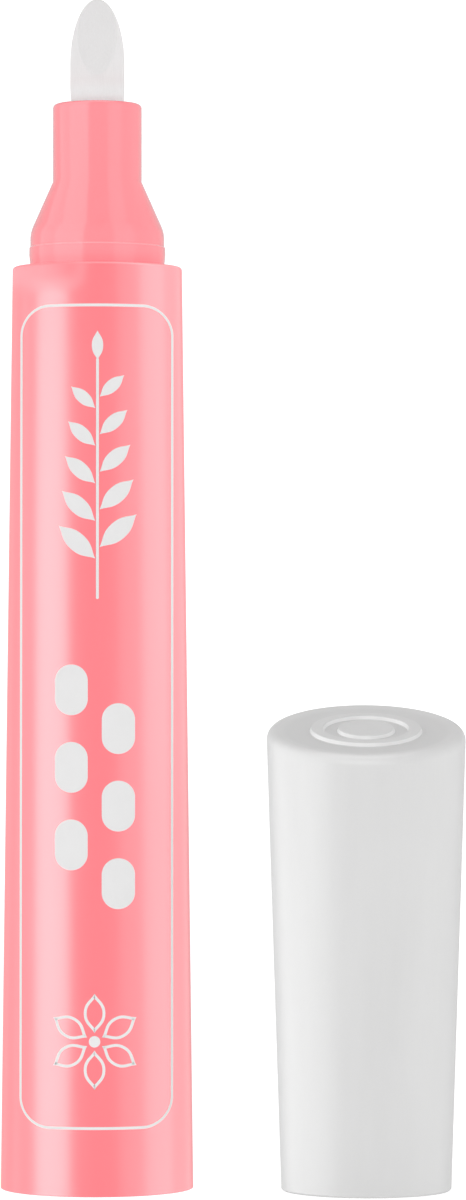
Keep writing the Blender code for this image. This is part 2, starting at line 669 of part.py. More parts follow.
def main():
    for old in list(bpy.data.objects):
        bpy.data.objects.remove(old)
    pen = empty("pen", (0, 0, 0))
    nib_carrier = empty("nib_press", (0, 0, NIB_REAR_Z), pen)
    cap_carrier = empty("cap_lift", (CAP_STAND_X, CAP_STAND_Y, 0))
    make_barrel(pen)
    make_tail_plug(pen)
    make_nose(pen)
    make_valve_seat(pen)
    make_valve_cage(pen)
    make_valve_spring(pen)
    make_nib(nib_carrier)
    make_valve_stem(nib_carrier)
    make_cap_shell(cap_carrier)
    make_cap_liner(cap_carrier)


main()
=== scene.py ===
"""Nail care pen with its cap taken off, dressed for a studio picture.

The file is laid out as an add-on. Its settings hold the sizes and colours, one operator
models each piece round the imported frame, and one sets up the studio. All lengths are in
metres. The pen stands upright at the origin with its nib up, and the cap stands at +X.
"""

import math

import bmesh
import bpy
from bpy.props import FloatProperty, FloatVectorProperty, IntProperty, PointerProperty
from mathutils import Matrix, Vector


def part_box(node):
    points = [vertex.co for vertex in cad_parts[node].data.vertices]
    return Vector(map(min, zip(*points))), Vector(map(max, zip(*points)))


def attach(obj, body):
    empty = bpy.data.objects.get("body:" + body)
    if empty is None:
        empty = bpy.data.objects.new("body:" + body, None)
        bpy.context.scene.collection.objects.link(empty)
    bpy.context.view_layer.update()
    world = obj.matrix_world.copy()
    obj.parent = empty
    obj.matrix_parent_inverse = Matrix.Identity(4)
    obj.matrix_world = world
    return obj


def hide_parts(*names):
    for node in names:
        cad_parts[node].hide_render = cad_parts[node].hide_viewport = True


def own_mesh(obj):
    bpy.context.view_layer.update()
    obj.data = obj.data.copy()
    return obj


bl_info = {
    "name": "Nail Care Pen",
    "version": (1, 0, 0),
    "blender": (4, 5, 0),
    "location": "3D View > Sidebar > Nail Pen",
    "description": "Models the finished pieces of a nail care pen round its packed frame",
    "category": "Object",
}

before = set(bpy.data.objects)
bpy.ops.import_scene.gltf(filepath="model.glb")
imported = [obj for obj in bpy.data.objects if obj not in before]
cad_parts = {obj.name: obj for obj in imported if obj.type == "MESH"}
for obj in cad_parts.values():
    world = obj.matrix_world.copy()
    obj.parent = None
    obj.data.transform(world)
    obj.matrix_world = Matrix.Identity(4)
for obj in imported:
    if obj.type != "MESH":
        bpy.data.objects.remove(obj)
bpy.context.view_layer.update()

MM = 0.001
MERGE = 0.001 * MM
ROUND_POINTS = 144
SMALL_POINTS = 96
ARC_POINTS = 7
CURVE_STEPS = 10
QUARTER_TURN = math.tau / 4
SHARP_ANGLE = math.radians(32)
RIGHT = Vector((1, 0, 0))
UP = Vector((0, 0, 1))

# Two faces look the same way when their normals' dot product is over this.
ALIGNED = 0.999

# Flat designs are drawn at this depth, in front of the barrel, and are then laid on it.
PRINT_FRONT = -12.0 * MM

# An area light with this many watts per square metre looks as bright as white paper.
PAPER_WATTS = 4

# A Mix node has sockets of one name for each kind of value, and these are its colour's.
MIX_FACTOR, MIX_FIRST, MIX_SECOND, MIX_RESULT = 0, 6, 7, 2


def length_of(name, millimetres, description):
    """A setting that holds a length, shown in the scene's units."""
    return FloatProperty(
        name=name, description=description, default=millimetres * MM, min=0.0,
        subtype="DISTANCE", unit="LENGTH",
    )


def colour_of(name, default, description):
    """A setting that holds a linear colour."""
    return FloatVectorProperty(
        name=name, description=description, default=default, size=3, min=0.0, max=1.0, subtype="COLOR"
    )


def share_of(name, default, description):
    """A setting between nought and one."""
    return FloatProperty(
        name=name, description=description, default=default, min=0.0, max=1.0, subtype="FACTOR"
    )


def number_of(name, default, description):
    """A setting that holds a plain number. For a softbox it is a brightness, where white paper has one."""
    return FloatProperty(name=name, description=description, default=default, min=0.0)


def count_of(name, default, description):
    """A setting that holds how many of something there are."""
    return IntProperty(name=name, description=description, default=default, min=1)


def angle_of(name, degrees, description):
    """A setting that holds an angle."""
    return FloatProperty(
        name=name, description=description, default=math.radians(degrees), subtype="ANGLE", unit="ROTATION"
    )


BARREL_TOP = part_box("barrel")[1]
NOSE_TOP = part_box("nose")[1]
NIB_LOW, NIB_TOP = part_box("nib")
LINER_LOW, LINER_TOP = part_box("cap_liner")
PLUG_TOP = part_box("tail_plug")[1]
PEN_AXIS = (0.0, 0.0)
CAP_AXIS = ((LINER_LOW.x + LINER_TOP.x) / 2, (LINER_LOW.y + LINER_TOP.y) / 2)


class BarrelSettings(bpy.types.PropertyGroup):
    base_radius: length_of("Base radius", BARREL_TOP.x / MM, "Outer radius at the wide rear end")
    mouth_radius: length_of("Mouth radius", 6.78, "Outer radius at the mouth")
    length: length_of("Length", BARREL_TOP.z / MM, "From the rear end to the mouth")
    wall: length_of("Wall", 1.2, "Thickness of the moulded wall")
    edge_round: length_of("Edge rounding", 0.25, "Rounding of the outer edge at the mouth")
    base_round: length_of("Base rounding", 0.05, "Rounding of the outer edge at the rear end")
    lip_bore: length_of("Lip bore", 5.02, "Radius of the hole in the thick lip that takes the nose")
    lip_length: length_of("Lip length", 3.0, "Length of the thick lip")
    seat_depth: length_of("Plug seat depth", 5.0, "Depth of the counterbore that takes the tail plug")
    seat_step: length_of("Plug seat step", 0.15, "How much wider the counterbore is than the bore")
    plug_face: length_of("Plug face", 1.4, "Thickness of the tail plug's face")
    plug_skirt: length_of("Plug skirt", 0.9, "Wall of the tail plug's skirt")
    chamfer: length_of("Chamfer", 0.25, "Chamfers of the plug and its seat")
    dull_depth: length_of("Dull depth", 1.6, "How far the duller left part of the mouth reaches down")
    dull_blend: length_of("Dull blend", 1.1, "Softness of the duller part's border")
    colour: colour_of("Pink", (1.0, 0.152, 0.183), "Colour of the barrel's plastic")
    # Painted light: the rougher part at the mouth's left is painted a lighter pink, standing in for the light
    # spread over it.
    painted_light_colour: colour_of("Dull pink", (1.0, 0.25, 0.28), "Colour of the duller part")
    # Painted highlight: a lighter pink painted along the mouth's rounded edge, standing in for the light that
    # it catches.
    painted_highlight_colour: colour_of("Worn pink", (1.0, 0.2, 0.23), "Colour of the mouth's worn edge")
    roughness: share_of("Roughness", 0.3, "Roughness of the barrel's surface")
    dull_roughness: share_of("Dull roughness", 0.6, "How much rougher the duller part is")
    ior: number_of("IOR", 2.0, "Index of refraction of the barrel's dense pigmented skin")


class NoseSettings(bpy.types.PropertyGroup):
    tube_radius: length_of("Tube radius", 3.56, "Outer radius of the nib tube")
    cone_top: length_of("Cone top", 80.5, "Height where the straight nib tube starts")
    cone_foot: length_of("Cone foot", 76.45, "Height where the cone widens from the collar")
    collar_radius: length_of("Collar radius", 5.37, "Radius of the collar over the barrel's mouth")
    neck_radius: length_of("Neck radius", 4.97, "Radius of the skirt inside the barrel")
    skirt_depth: length_of("Skirt depth", 7.0, "How far the skirt reaches into the barrel")
    bead_radius: length_of("Bead radius", NOSE_TOP.x / MM, "Radius of the snap bead")
    bead_height: length_of("Bead height", 1.6, "Height of the snap bead's upper edge")
    bead_middle: share_of("Bead middle", 0.62, "Where the bead is widest, as a share of its height")
    bead_crown: share_of("Bead crown", 0.9, "How proud the bead is under the ledge, as a share")
    ledge: length_of("Ledge", 0.07, "Height of the fine ledge over the snap bead")
    nib_bore: length_of("Nib bore", 2.28, "Radius of the hole for the nib")
    edge_round: length_of("Edge rounding", 0.34, "Rounding of the tube's upper edge")
    blend: length_of("Blend", 3.0, "Rounding between cone and collar")
    chamber_radius: length_of("Chamber radius", 3.12, "Radius of the chamber behind the nib")
    chamber_wall: length_of("Chamber wall", 1.6, "How far the chamber reaches over the cone's foot")
    chamber_roof: length_of("Chamber roof", 0.8, "Height of the chamber's sloping roof")
    seat_bore: length_of("Seat bore", 4.32, "Radius of the skirt's bore")
    seat_height: length_of("Seat height", 0.8, "Height of the skirt's bore over the barrel's mouth")
    shade_height: length_of("Shaded foot", 1.3, "Height over the barrel up to which the pink is deeper")
    shade_edge: length_of("Shaded edge", 0.13, "Depth of the deeper pink at the tube's upper edge")
    colour: colour_of("Nose pink", (1.0, 0.25, 0.28), "Colour of the nose's plastic")
    # Painted shade: a deeper pink at the collar's foot, where the barrel's rim would shade it, and along the
    # tube's upper edge.
    painted_shade_colour: colour_of("Deep pink", (1.0, 0.19, 0.22), "Colour at the collar's foot and the tube's edge")
    # Painted highlight: a lighter pink painted on the fine ledge over the snap bead, standing in for the
    # light that it catches.
    painted_highlight_colour: colour_of("Worn pink", (1.0, 0.38, 0.41), "Colour of the ledge's worn edge")
    roughness: share_of("Roughness", 0.16, "Roughness of the nose's surface")


class NibSettings(bpy.types.PropertyGroup):
    radius: length_of("Radius", 2.18, "Radius of the nib where it shows")
    shank_radius: length_of("Shank radius", 2.12, "Radius of the nib inside the nose")
    point_length: length_of("Point length", 5.3, "Length of the elliptical point")
    point_steps: count_of("Point steps", 40, "Rings of the elliptical point")
    face_drop: length_of("Face drop", 6.3, "From the tip down to the foot of the slanted face")
    face_offset: length_of("Face offset", 0.4, "From the tip's axis to the slanted face")
    face_round: length_of("Face rounding", 0.14, "Softness of the slanted face's edge")
    rear_round: length_of("Rear rounding", 0.3, "Rounding of the nib's rear end")
    swell_height: length_of("Swell height", 1.2, "Height above the nose where the nib has its full radius")
    face_blend: length_of("Face blend", 0.16, "How deep the pressed face's grey fades out")
    face_tint: share_of("Face tint", 0.15, "How much greyer the pressed face is")
    colour: colour_of("Felt", (0.712, 0.7, 0.701), "Colour of the felt")
    foot_colour: colour_of("Felt foot", (0.775, 0.885, 0.886), "Felt in the pink light near the tube")
    foot_height: length_of("Foot height", 2.0, "How far that colour reaches up from the tube")


class CapSettings(bpy.types.PropertyGroup):
    length: length_of("Length", 36.65, "From the mouth to the slanted end, on the axis")
    mouth_radius: length_of("Mouth radius", 6.78, "Outer radius at the mouth")
    flare: length_of("Flare", 1.18, "How much wider the slanted end is than the mouth")
    slant: angle_of("Slant", 14.3, "Tilt of the closed end towards the front")
    edge_round: length_of("Edge rounding", 0.8, "Rounding of the rim")
    rim_width: length_of("Rim width", 0.95, "Width of the rim round the recess")
    recess_depth: length_of("Recess depth", 0.18, "Depth of the recess in the closed end")
    recess_slope: length_of("Recess slope", 0.9, "Width of the recess's sloping side")
    mouth_chamfer: length_of("Mouth chamfer", 0.14, "Chamfer of both edges of the mouth")
    lip_land: length_of("Lip land", 0.85, "Height of the mouth's straight lip")
    ring_inset: length_of("Ring inset", 1.6, "From the recess's side to the raised ring")
    ring_width: length_of("Ring width", 0.9, "Width of the raised ring")
    ring_height: length_of("Ring height", 0.32, "Height of the raised ring and disc")
    ring_side: length_of("Ring side", 0.16, "Width of the raised forms' sloping sides")
    disc_gap: length_of("Disc gap", 0.95, "From the ring to the raised disc inside it")
    # Painted shade: the recess's floor is painted darker, standing in for the shade in the recess.
    painted_recess_shade: share_of("Floor tone", 0.94, "Brightness of the recess's matt floor beside the rest")
    # Painted highlight: the raised forms' sloping sides are painted lighter, standing in for the light that
    # they catch.
    painted_side_highlight: number_of("Side tone", 1.2, "Brightness of the raised forms' polished sides beside the rest")
    end_wall: length_of("End wall", 1.5, "Thickness of the closed end")
    lip_bore: length_of("Lip bore", 5.43, "Radius of the mouth's bore")
    seat_bore: length_of("Seat bore", 5.28, "Radius of the bore at the liner's seat")
    deep_bore: length_of("Deep bore", 5.03, "Radius of the bore at the closed end")
    seat_height: length_of("Seat height", 9.6, "Height of the ribs that stop the liner")
    rib_width: length_of("Rib width", 0.9, "Width of each stop rib")
    rib_proud: length_of("Rib height", 0.5, "How far each stop rib stands proud")
    rib_count: count_of("Ribs", 6, "Number of stop ribs")
    colour: colour_of("White", (0.612, 0.611, 0.61), "Colour of the cap's plastic")
    roughness: share_of("Roughness", 0.42, "Roughness of the cap's surface")


class LinerSettings(bpy.types.PropertyGroup):
    flange: length_of("Flange", 0.9, "Thickness of the flange that seats on the cap's ribs")
    wall: length_of("Wall", 0.8, "Thickness of the liner's wall")
    sleeve_bore: length_of("Sleeve bore", 3.62, "Radius of the bore that seals on the nib tube")
    sleeve_top: length_of("Sleeve top", 13.6, "Height of the sleeve's inner end")
    room_bore: length_of("Nib room", 2.98, "Radius of the room for the nib")
    lead: length_of("Lead-in", 0.3, "Chamfer at the sleeve's mouth")
    edge_round: length_of("Edge rounding", 0.6, "Rounding of the closed end")


class ValveSettings(bpy.types.PropertyGroup):
    wire_radius: length_of("Wire radius", 0.2, "Radius of the spring's wire")
    travel: length_of("Travel", 1.8, "How far the nib presses the spring together")
    half_turns: count_of("Half turns", 13, "Half turns of the spring")
    half_turn_steps: count_of("Steps", 16, "Steps round each half turn")
    wire_sides: count_of("Wire sides", 12, "Sides round the spring's wire")


class PrintSettings(bpy.types.PropertyGroup):
    half_width: length_of("Border half width", 6.06, "From the border's middle to its sides")
    shift: length_of("Border shift", 0.06, "From the barrel's middle to the border's, towards the cap")
    low: length_of("Border foot", 5.28, "Height of the border's lower line")
    high: length_of("Border head", 70.31, "Height of the border's upper line")
    corner: length_of("Border corner", 2.4, "Rounding of the border's corners")
    line: length_of("Line width", 0.225, "Width of the printed lines")
    side_line: length_of("Side line width", 0.17, "Width of the border's upright lines")
    lift: length_of("Lift", 0.028, "How far the ink stands off the barrel")
    ink: length_of("Ink thickness", 0.02, "Thickness of the ink")
    strip: length_of("Strip", 0.25, "Width of the strips that wrap round the barrel")
    strip_length: length_of("Strip length", 1.5, "Length of those strips, short enough to follow the taper")
    colour: colour_of("Ink", (0.71, 0.707, 0.708), "Colour of the ink")
    line_colour: colour_of("Line ink", (0.74, 0.737, 0.738), "Colour of the thicker ink of the fine lines")


class DesignSettings(bpy.types.PropertyGroup):
    sprig_across: length_of("Sprig across", 0.2, "Place across of the sprig's stem")
    sprig_foot: length_of("Sprig foot", 47.0, "Height of the stem's foot")
    stem: length_of("Stem", 19.0, "Length of the stem")
    leaf_pairs: count_of("Leaf pairs", 5, "Pairs of leaves along the stem")
    leaf_length: length_of("Leaf length", 3.9, "Length of the lowest leaves")
    leaf_width: length_of("Leaf width", 1.45, "Width of the lowest leaves")
    leaf_spread: angle_of("Leaf spread", 48, "Angle between the leaves and the stem")
    leaf_stagger: length_of("Leaf stagger", 0.9, "How much higher the right leaf of each pair stands")
    first_share: share_of("First pair", 0.16, "Height of the first pair, as a share of the stem")
    climb_share: share_of("Climb", 0.78, "Rise of all the pairs together, as a share of the stem")
    shrink_share: share_of("Shrink", 0.42, "How much smaller the leaves get over that rise")
    bud_lift_share: share_of("Bud lift", 0.26, "Height of the top bud over the stem, in leaf lengths")
    bud_length_share: share_of("Bud length", 0.6, "Length of the bud, in leaf lengths")
    bud_width_share: share_of("Bud width", 0.62, "Width of the bud, in leaf widths")
    nail_count: count_of("Nails", 6, "Number of nail shapes")
    nail_column: length_of("Nail column", 1.85, "From the panel's middle to each column of nail shapes")
    nail_first: length_of("First nail", 24.6, "Height of the lowest nail shape's middle")
    nail_pitch: length_of("Nail pitch", 6.1, "Height from one nail shape to the next in its column")
    nail_half_width: length_of("Nail half width", 1.3, "Half the width of a nail shape")
    nail_half_height: length_of("Nail half height", 2.0, "Half the height of a nail shape")
    flower_height: length_of("Flower height", 12.2, "Height of the flower's middle")
    petal_count: count_of("Petals", 6, "Number of petals")
    petal_length: length_of("Petal length", 3.1, "Length of each petal")
    petal_width: length_of("Petal width", 1.7, "Width of each petal")
    hub: length_of("Hub", 0.45, "Radius of the flower's dot")


class StudioSettings(bpy.types.PropertyGroup):
    distance: length_of("Camera distance", 409.6, "From the camera to the point it looks at")
    tilt: angle_of("Camera tilt", -0.62, "Height of the camera as an angle seen from its aim")
    aim_x: length_of("Aim across", 10.88, "Place across of the point the camera looks at")
    aim_z: length_of("Aim height", 47.0, "Height of the point the camera looks at")
    lens: FloatProperty(name="Lens", description="Focal length", default=153.35, subtype="DISTANCE_CAMERA")
    near_clip: length_of("Near clip", 10.0, "Nearest distance that the camera sees")
    far_clip: length_of("Far clip", 10000.0, "Farthest distance that the camera sees")
    sweep_radius: length_of("Sweep radius", 2800.0, "Radius of the round white sweep")
    sweep_height: length_of("Sweep height", 3400.0, "Height of the white sweep")
    sweep_round: length_of("Sweep rounding", 1090.0, "Rounding between floor and wall")
    sweep_glow: number_of("Sweep glow", 0.52, "Light that the sweep gives off")
    air: number_of("Air", 0.62, "Brightness of the air over the sweep")
    box_distance: length_of("Softbox distance", 110.0, "From the pen's axis to each standing softbox")
    box_low: length_of("Softbox foot", 60.0, "How far the softboxes reach below the floor's height")
    box_high: length_of("Softbox head", 400.0, "Height of the softboxes' upper edge")
    top_side: length_of("Top box side", 240.0, "Side of each square box over the pen")
    front_reach: length_of("Front box reach", 200.0, "How far and how high the box over the camera stands")
    front_width: length_of("Front box width", 200.0, "Width of the box over the camera")
    front_height: length_of("Front box height", 180.0, "Height of the box over the camera")
    strip_high: length_of("Strip head", 108.0, "Height of the left strip's upper edge")
    strip_lean: angle_of("Strip lean", 12.0, "Lean of the left strip's head away from the camera")
    barrel_left: number_of("Barrel left", 0.56, "Broad softbox on the barrel's left")
    barrel_left_strip: number_of("Barrel left strip", 2.25, "Strip that draws the barrel's left highlight")
    barrel_left_back: number_of("Barrel left back", 0.28, "Softbox behind the barrel on its left")
    barrel_right: number_of("Barrel right", 0.7, "Broad softbox on the barrel's right")
    barrel_right_strip: number_of("Barrel right strip", 1.15, "Strip that draws the barrel's right highlight")
    barrel_right_back: number_of("Barrel right back", 0.7, "Softbox behind the barrel on its right")
    barrel_top: number_of("Barrel top", 1.1, "Box over the barrel's mouth")
    nose_left: number_of("Nose left", 1.0, "Softbox on the nose's left")
    nose_left_side: number_of("Nose left side", 0.55, "Fainter softbox further round the nose's left")
    nose_right: number_of("Nose right", 0.45, "Softbox on the nose's right")
    nose_right_side: number_of("Nose right side", 0.1, "Fainter softbox further round the nose's right")
    nose_top: number_of("Nose top", 0.8, "Box over the nose")
    cap_left: number_of("Cap left", 1.7, "Softbox on the cap's left")
    cap_right: number_of("Cap right", 0.4, "Softbox on the cap's right")
    cap_front: number_of("Cap front", 3.4, "Box over the camera that lights the forms on the cap's end")
    cap_top: number_of("Cap top", 2.5, "Box over the cap")


class NailPenSettings(bpy.types.PropertyGroup):
    barrel: PointerProperty(type=BarrelSettings)
    nose: PointerProperty(type=NoseSettings)
    nib: PointerProperty(type=NibSettings)
    cap: PointerProperty(type=CapSettings)
    liner: PointerProperty(type=LinerSettings)
    valve: PointerProperty(type=ValveSettings)
    print: PointerProperty(type=PrintSettings)
    design: PointerProperty(type=DesignSettings)
    studio: PointerProperty(type=StudioSettings)


class Value:
    """A number that varies over a surface, whose sums and products add Math nodes."""

    def __init__(self, finish, socket):
        self.finish = finish
        self.socket = socket

    def combine(self, operation, first, second):
        return self.finish.node("ShaderNodeMath", {"operation": operation}, {0: first, 1: second})

    def __add__(self, other):
        return self.combine("ADD", self, other)

    def __sub__(self, other):
        return self.combine("SUBTRACT", self, other)

    def __rsub__(self, other):
        return self.combine("SUBTRACT", other, self)

    def __mul__(self, other):
        return self.combine("MULTIPLY", self, other)

    __radd__ = __add__
    __rmul__ = __mul__


class Finish:
    """A material built round its Principled shader, with sizes of patterns in metres."""

    def __init__(self, name, uniform):
        self.material = bpy.data.materials.new(name)
        self.material.use_nodes = True
        self.tree = self.material.node_tree
        self.shader = self.tree.nodes["Principled BSDF"]
        for socket, amount in uniform.items():
            self.feed(self.shader.inputs[socket], amount)
        self.place = self.node("ShaderNodeTexCoord", output="Object")

    def feed(self, socket, value):
        if isinstance(value, Value):
            self.tree.links.new(value.socket, socket)
        else:
            socket.default_value = value

    def node(self, kind, settings=None, inputs=None, output=0):
        """Adds a node with its settings, then the values or links of its sockets."""
        made = self.tree.nodes.new(kind)
        for name, setting in (settings or {}).items():
            setattr(made, name, setting)
        for name, value in (inputs or {}).items():
            self.feed(made.inputs[name], value)
        return Value(self, made.outputs[output])

    def noise(self, size, detail, stretch=(1, 1, 1)):
        """Cloudy noise with features of a size, drawn out along an axis by a stretch over one."""
        scale = tuple(1 / (size * along) for along in stretch)
        place = self.node("ShaderNodeMapping", None, {"Vector": self.place, "Scale": scale}, "Vector")
        inputs = {"Vector": place, "Scale": 1.0, "Detail": detail}
        return self.node("ShaderNodeTexNoise", None, inputs, "Fac")

    def depth(self, point, normal):
        """Distance of the surface from a plane, positive on the side that the normal points to."""
        settings = {"operation": "DOT_PRODUCT"}
        along = self.node("ShaderNodeVectorMath", settings, {0: self.place, 1: tuple(normal)}, "Value")
        return along - Vector(point).dot(normal)

    def step(self, value, low, high):
        """Nought below a low limit and one above a high one."""
        inputs = {"Value": value, "From Min": low, "From Max": high}
        return self.node("ShaderNodeMapRange", {"interpolation_type": "SMOOTHSTEP"}, inputs, "Result")

    def reach(self, axis):
        """Distance of the surface from an upright axis."""
        flat = self.node("ShaderNodeVectorMath", {"operation": "MULTIPLY"}, {0: self.place, 1: (1, 1, 0)})
        return self.node("ShaderNodeVectorMath", {"operation": "DISTANCE"}, {0: flat, 1: (*axis, 0)}, "Value")

    def mix(self, factor, first, second):
        """A colour between two others, each a colour or a link."""
        first, second = (part if isinstance(part, Value) else (*part, 1) for part in (first, second))
        inputs = {MIX_FACTOR: factor, MIX_FIRST: first, MIX_SECOND: second}
        return self.node("ShaderNodeMix", {"data_type": "RGBA"}, inputs, MIX_RESULT)

    def paint(self, colour):
        self.feed(self.shader.inputs["Base Color"], colour)

    def roughen(self, roughness):
        self.feed(self.shader.inputs["Roughness"], roughness)

    def emboss(self, height, distance, strength):
        """Raises the surface by a height of nought to one times a distance."""
        inputs = {"Height": height, "Distance": distance, "Strength": strength}
        self.feed(self.shader.inputs["Normal"], self.node("ShaderNodeBump", None, inputs, "Normal"))


def shade(colour, amount):
    """A colour made darker or lighter by an amount."""
    return tuple(min(max(part * amount, 0.0), 1.0) for part in colour)


def moulded_plastic(name, colour, roughness, coat, layers=(), dull=None, ior=1.5):
    """Moulded plastic: faint flow clouds, fine pigment, a varying gloss and a little orange peel.

    Each layer is another colour, such as painted shade or a painted highlight, with a function of the finish
    that says where it shows. Another such function says where the surface is duller, and by how much.
    """
    flow = (1, 1, 6)
    uniform = {"IOR": ior, "Specular IOR Level": 0.5, "Coat Weight": coat, "Coat Roughness": roughness}
    finish = Finish(name, uniform)
    clouds = finish.noise(size=2.5 * MM, detail=3.0, stretch=flow)
    pigment = finish.noise(size=0.12 * MM, detail=1.0)
    peel = finish.noise(size=0.5 * MM, detail=2.0, stretch=flow)
    tinted = finish.mix(clouds * 0.7 + pigment * 0.3, shade(colour, 0.94), shade(colour, 1.05))
    for layer_colour, where in layers:
        tinted = finish.mix(where(finish), tinted, layer_colour)
    finish.paint(tinted)
    gloss = roughness - 0.03 + clouds * 0.04 + pigment * 0.02
    if dull:
        gloss = gloss + dull(finish)
    finish.roughen(gloss)
    finish.emboss(peel, distance=0.004 * MM, strength=0.6)
    return finish.material


def felt_fibre(size, point, slant):
    """Bonded fibre: fine strands along the nib, a grainy tint, no gloss, a pressed slanted face, and a cool
    tint painted at its foot against the pink light from the nose.
    """
    uniform = {"Specular IOR Level": 0.1, "Sheen Weight": 0.04, "Sheen Roughness": 0.6}
    finish = Finish("felt_fibre", uniform)
    strands = finish.noise(size=0.07 * MM, detail=2.0, stretch=(1, 1, 9))
    grain = finish.noise(size=0.09 * MM, detail=3.0)
    clouds = finish.noise(size=1.1 * MM, detail=2.0, stretch=(1, 1, 2))
    tint = strands * 0.45 + grain * 0.35 + clouds * 0.2
    pressed = finish.step(finish.depth(point, slant), -size.face_blend, 0.0)
    # The foot is painted lighter and cooler to cancel the pink light that the nose throws on the felt.
    foot = 1 - finish.step(finish.depth(NOSE_TOP, UP), 0.0, size.foot_height)
    dark, light = (
        finish.mix(foot, shade(size.colour, amount), shade(size.foot_colour, amount))
        for amount in (0.9, 1.07)
    )
    finish.paint(finish.mix(tint - pressed * size.face_tint, dark, light))
    finish.roughen(0.86 + grain * 0.12)
    finish.emboss(strands * 0.6 + grain * 0.4, distance=0.03 * MM, strength=0.5)
    return finish.material


def natural_polymer():
    """Unpigmented moulding: milky, slightly uneven and waxy."""
    depth = (0.6 * MM, 0.6 * MM, 0.5 * MM)
    uniform = {"Subsurface Weight": 0.2, "Subsurface Radius": depth, "Subsurface Scale": 1.0}
    finish = Finish("natural_polymer", uniform)
    clouds = finish.noise(size=1.8 * MM, detail=3.0)
    peel = finish.noise(size=0.3 * MM, detail=2.0)
    finish.paint(finish.mix(clouds, (0.7, 0.71, 0.68), (0.78, 0.785, 0.76)))
    finish.roughen(0.36 + clouds * 0.08)
    finish.emboss(peel, distance=0.005 * MM, strength=0.5)
    return finish.material


def seal_rubber():
    """Soft black-grey rubber with a faint bloom."""
    finish = Finish("seal_rubber", {"Specular IOR Level": 0.3})
    bloom = finish.noise(size=0.7 * MM, detail=4.0)
    grain = finish.noise(size=0.06 * MM, detail=1.0)
    finish.paint(finish.mix(bloom, (0.06, 0.062, 0.065), (0.11, 0.112, 0.115)))
    finish.roughen(0.6 + bloom * 0.15)
    finish.emboss(grain, distance=0.004 * MM, strength=0.5)
    return finish.material


def spring_wire():
    """Drawn steel wire with fine streaks."""
    finish = Finish("spring_wire", {"Metallic": 1.0})
    streaks = finish.noise(size=0.05 * MM, detail=2.0, stretch=(4, 4, 1))
    clouds = finish.noise(size=0.9 * MM, detail=2.0)
    finish.paint(finish.mix(clouds, (0.52, 0.52, 0.54), (0.66, 0.66, 0.67)))
    finish.roughen(0.2 + streaks * 0.14)
    finish.emboss(streaks, distance=0.002 * MM, strength=0.5)
    return finish.material


def print_ink(name, colour):
    """Screen-printed ink: nearly even, with the mesh's fine grain."""
    finish = Finish(name, {"Specular IOR Level": 0.35})
    grain = finish.noise(size=0.08 * MM, detail=2.0)
    clouds = finish.noise(size=1.2 * MM, detail=2.0)
    finish.paint(finish.mix(grain * 0.5 + clouds * 0.5, shade(colour, 0.96), shade(colour, 1.03)))
    finish.roughen(0.5 + grain * 0.1)
    finish.emboss(grain, distance=0.003 * MM, strength=0.4)
    return finish.material


def rounded(corners):
    """The points of an outline of (radius, height, rounding) corners, with its roundings as arcs."""
    points = []
    for index, (radius, height, rounding) in enumerate(corners):
        here = Vector((radius, height))
        if not rounding:
            points.append(here)
            continue
        before = Vector(corners[index - 1][:2]) - here
        after = Vector(corners[(index + 1) % len(corners)][:2]) - here
        half = before.angle(after) / 2
        reach = min(rounding / math.tan(half), before.length / 2, after.length / 2)
        centre = here + (before.normalized() + after.normalized()).normalized() * (reach / math.cos(half))
        start = here + before.normalized() * reach - centre
        turn = start.angle_signed(here + after.normalized() * reach - centre)
        for step in range(ARC_POINTS + 1):
            angle = turn * step / ARC_POINTS
            across = start.x * math.cos(angle) + start.y * math.sin(angle)
            along = start.y * math.cos(angle) - start.x * math.sin(angle)
            points.append(centre + Vector((across, along)))
    return points


def choose(*pieces):
    """Selects only these pieces, with the first one active."""
    bpy.ops.object.select_all(action="DESELECT")
    for piece in pieces:
        piece.select_set(True)
    bpy.context.view_layer.objects.active = pieces[0]


def edit(piece):
    """Opens a piece in edit mode with all of it selected."""
    choose(piece)
    bpy.ops.object.mode_set(mode="EDIT")
    bpy.ops.mesh.select_mode(type="VERT")
    bpy.ops.mesh.select_all(action="SELECT")


def close_edit(outside=True):
    """Leaves edit mode, with the faces of a closed shape turned outwards."""
    if outside:
        bpy.ops.mesh.select_all(action="SELECT")
        bpy.ops.mesh.normals_make_consistent(inside=False)
    bpy.ops.object.mode_set(mode="OBJECT")


def turn_rings(name, axis, outline, points=ROUND_POINTS, closed=True):
    """A round piece, extruded ring after ring along an outline of (radius, height) points.

    A closed outline joins its last ring to its first, and an open one gets a face at each end.
    """
    radius, height = outline[0]
    bpy.ops.object.select_all(action="DESELECT")
    bpy.ops.mesh.primitive_circle_add(vertices=points, radius=radius, location=(*axis, height))
    piece = bpy.context.object
    piece.name = name
    bpy.ops.object.transform_apply(location=True, rotation=True, scale=True)
    edit(piece)
    for next_radius, next_height in list(outline[1:]) + ([outline[0]] if closed else []):
        bpy.ops.mesh.extrude_region_move(TRANSFORM_OT_translate={"value": (0, 0, next_height - height)})
        share = next_radius / radius
        bpy.ops.transform.resize(value=(share, share, 1), center_override=(*axis, next_height))
        radius, height = next_radius, next_height
    bpy.ops.mesh.select_all(action="SELECT")
    if closed:
        bpy.ops.mesh.remove_doubles(threshold=MERGE)
    else:
        bpy.ops.mesh.fill_holes(sides=0)
    close_edit()
    return piece


def pick_faces(piece, wanted):
    """Selects only the faces that a test picks out, in edit mode."""
    bpy.ops.mesh.select_mode(type="FACE")
    bpy.ops.mesh.select_all(action="DESELECT")
    shape = bmesh.from_edit_mesh(piece.data)
    for face in shape.faces:
        face.select_set(wanted(face))
    bmesh.update_edit_mesh(piece.data)


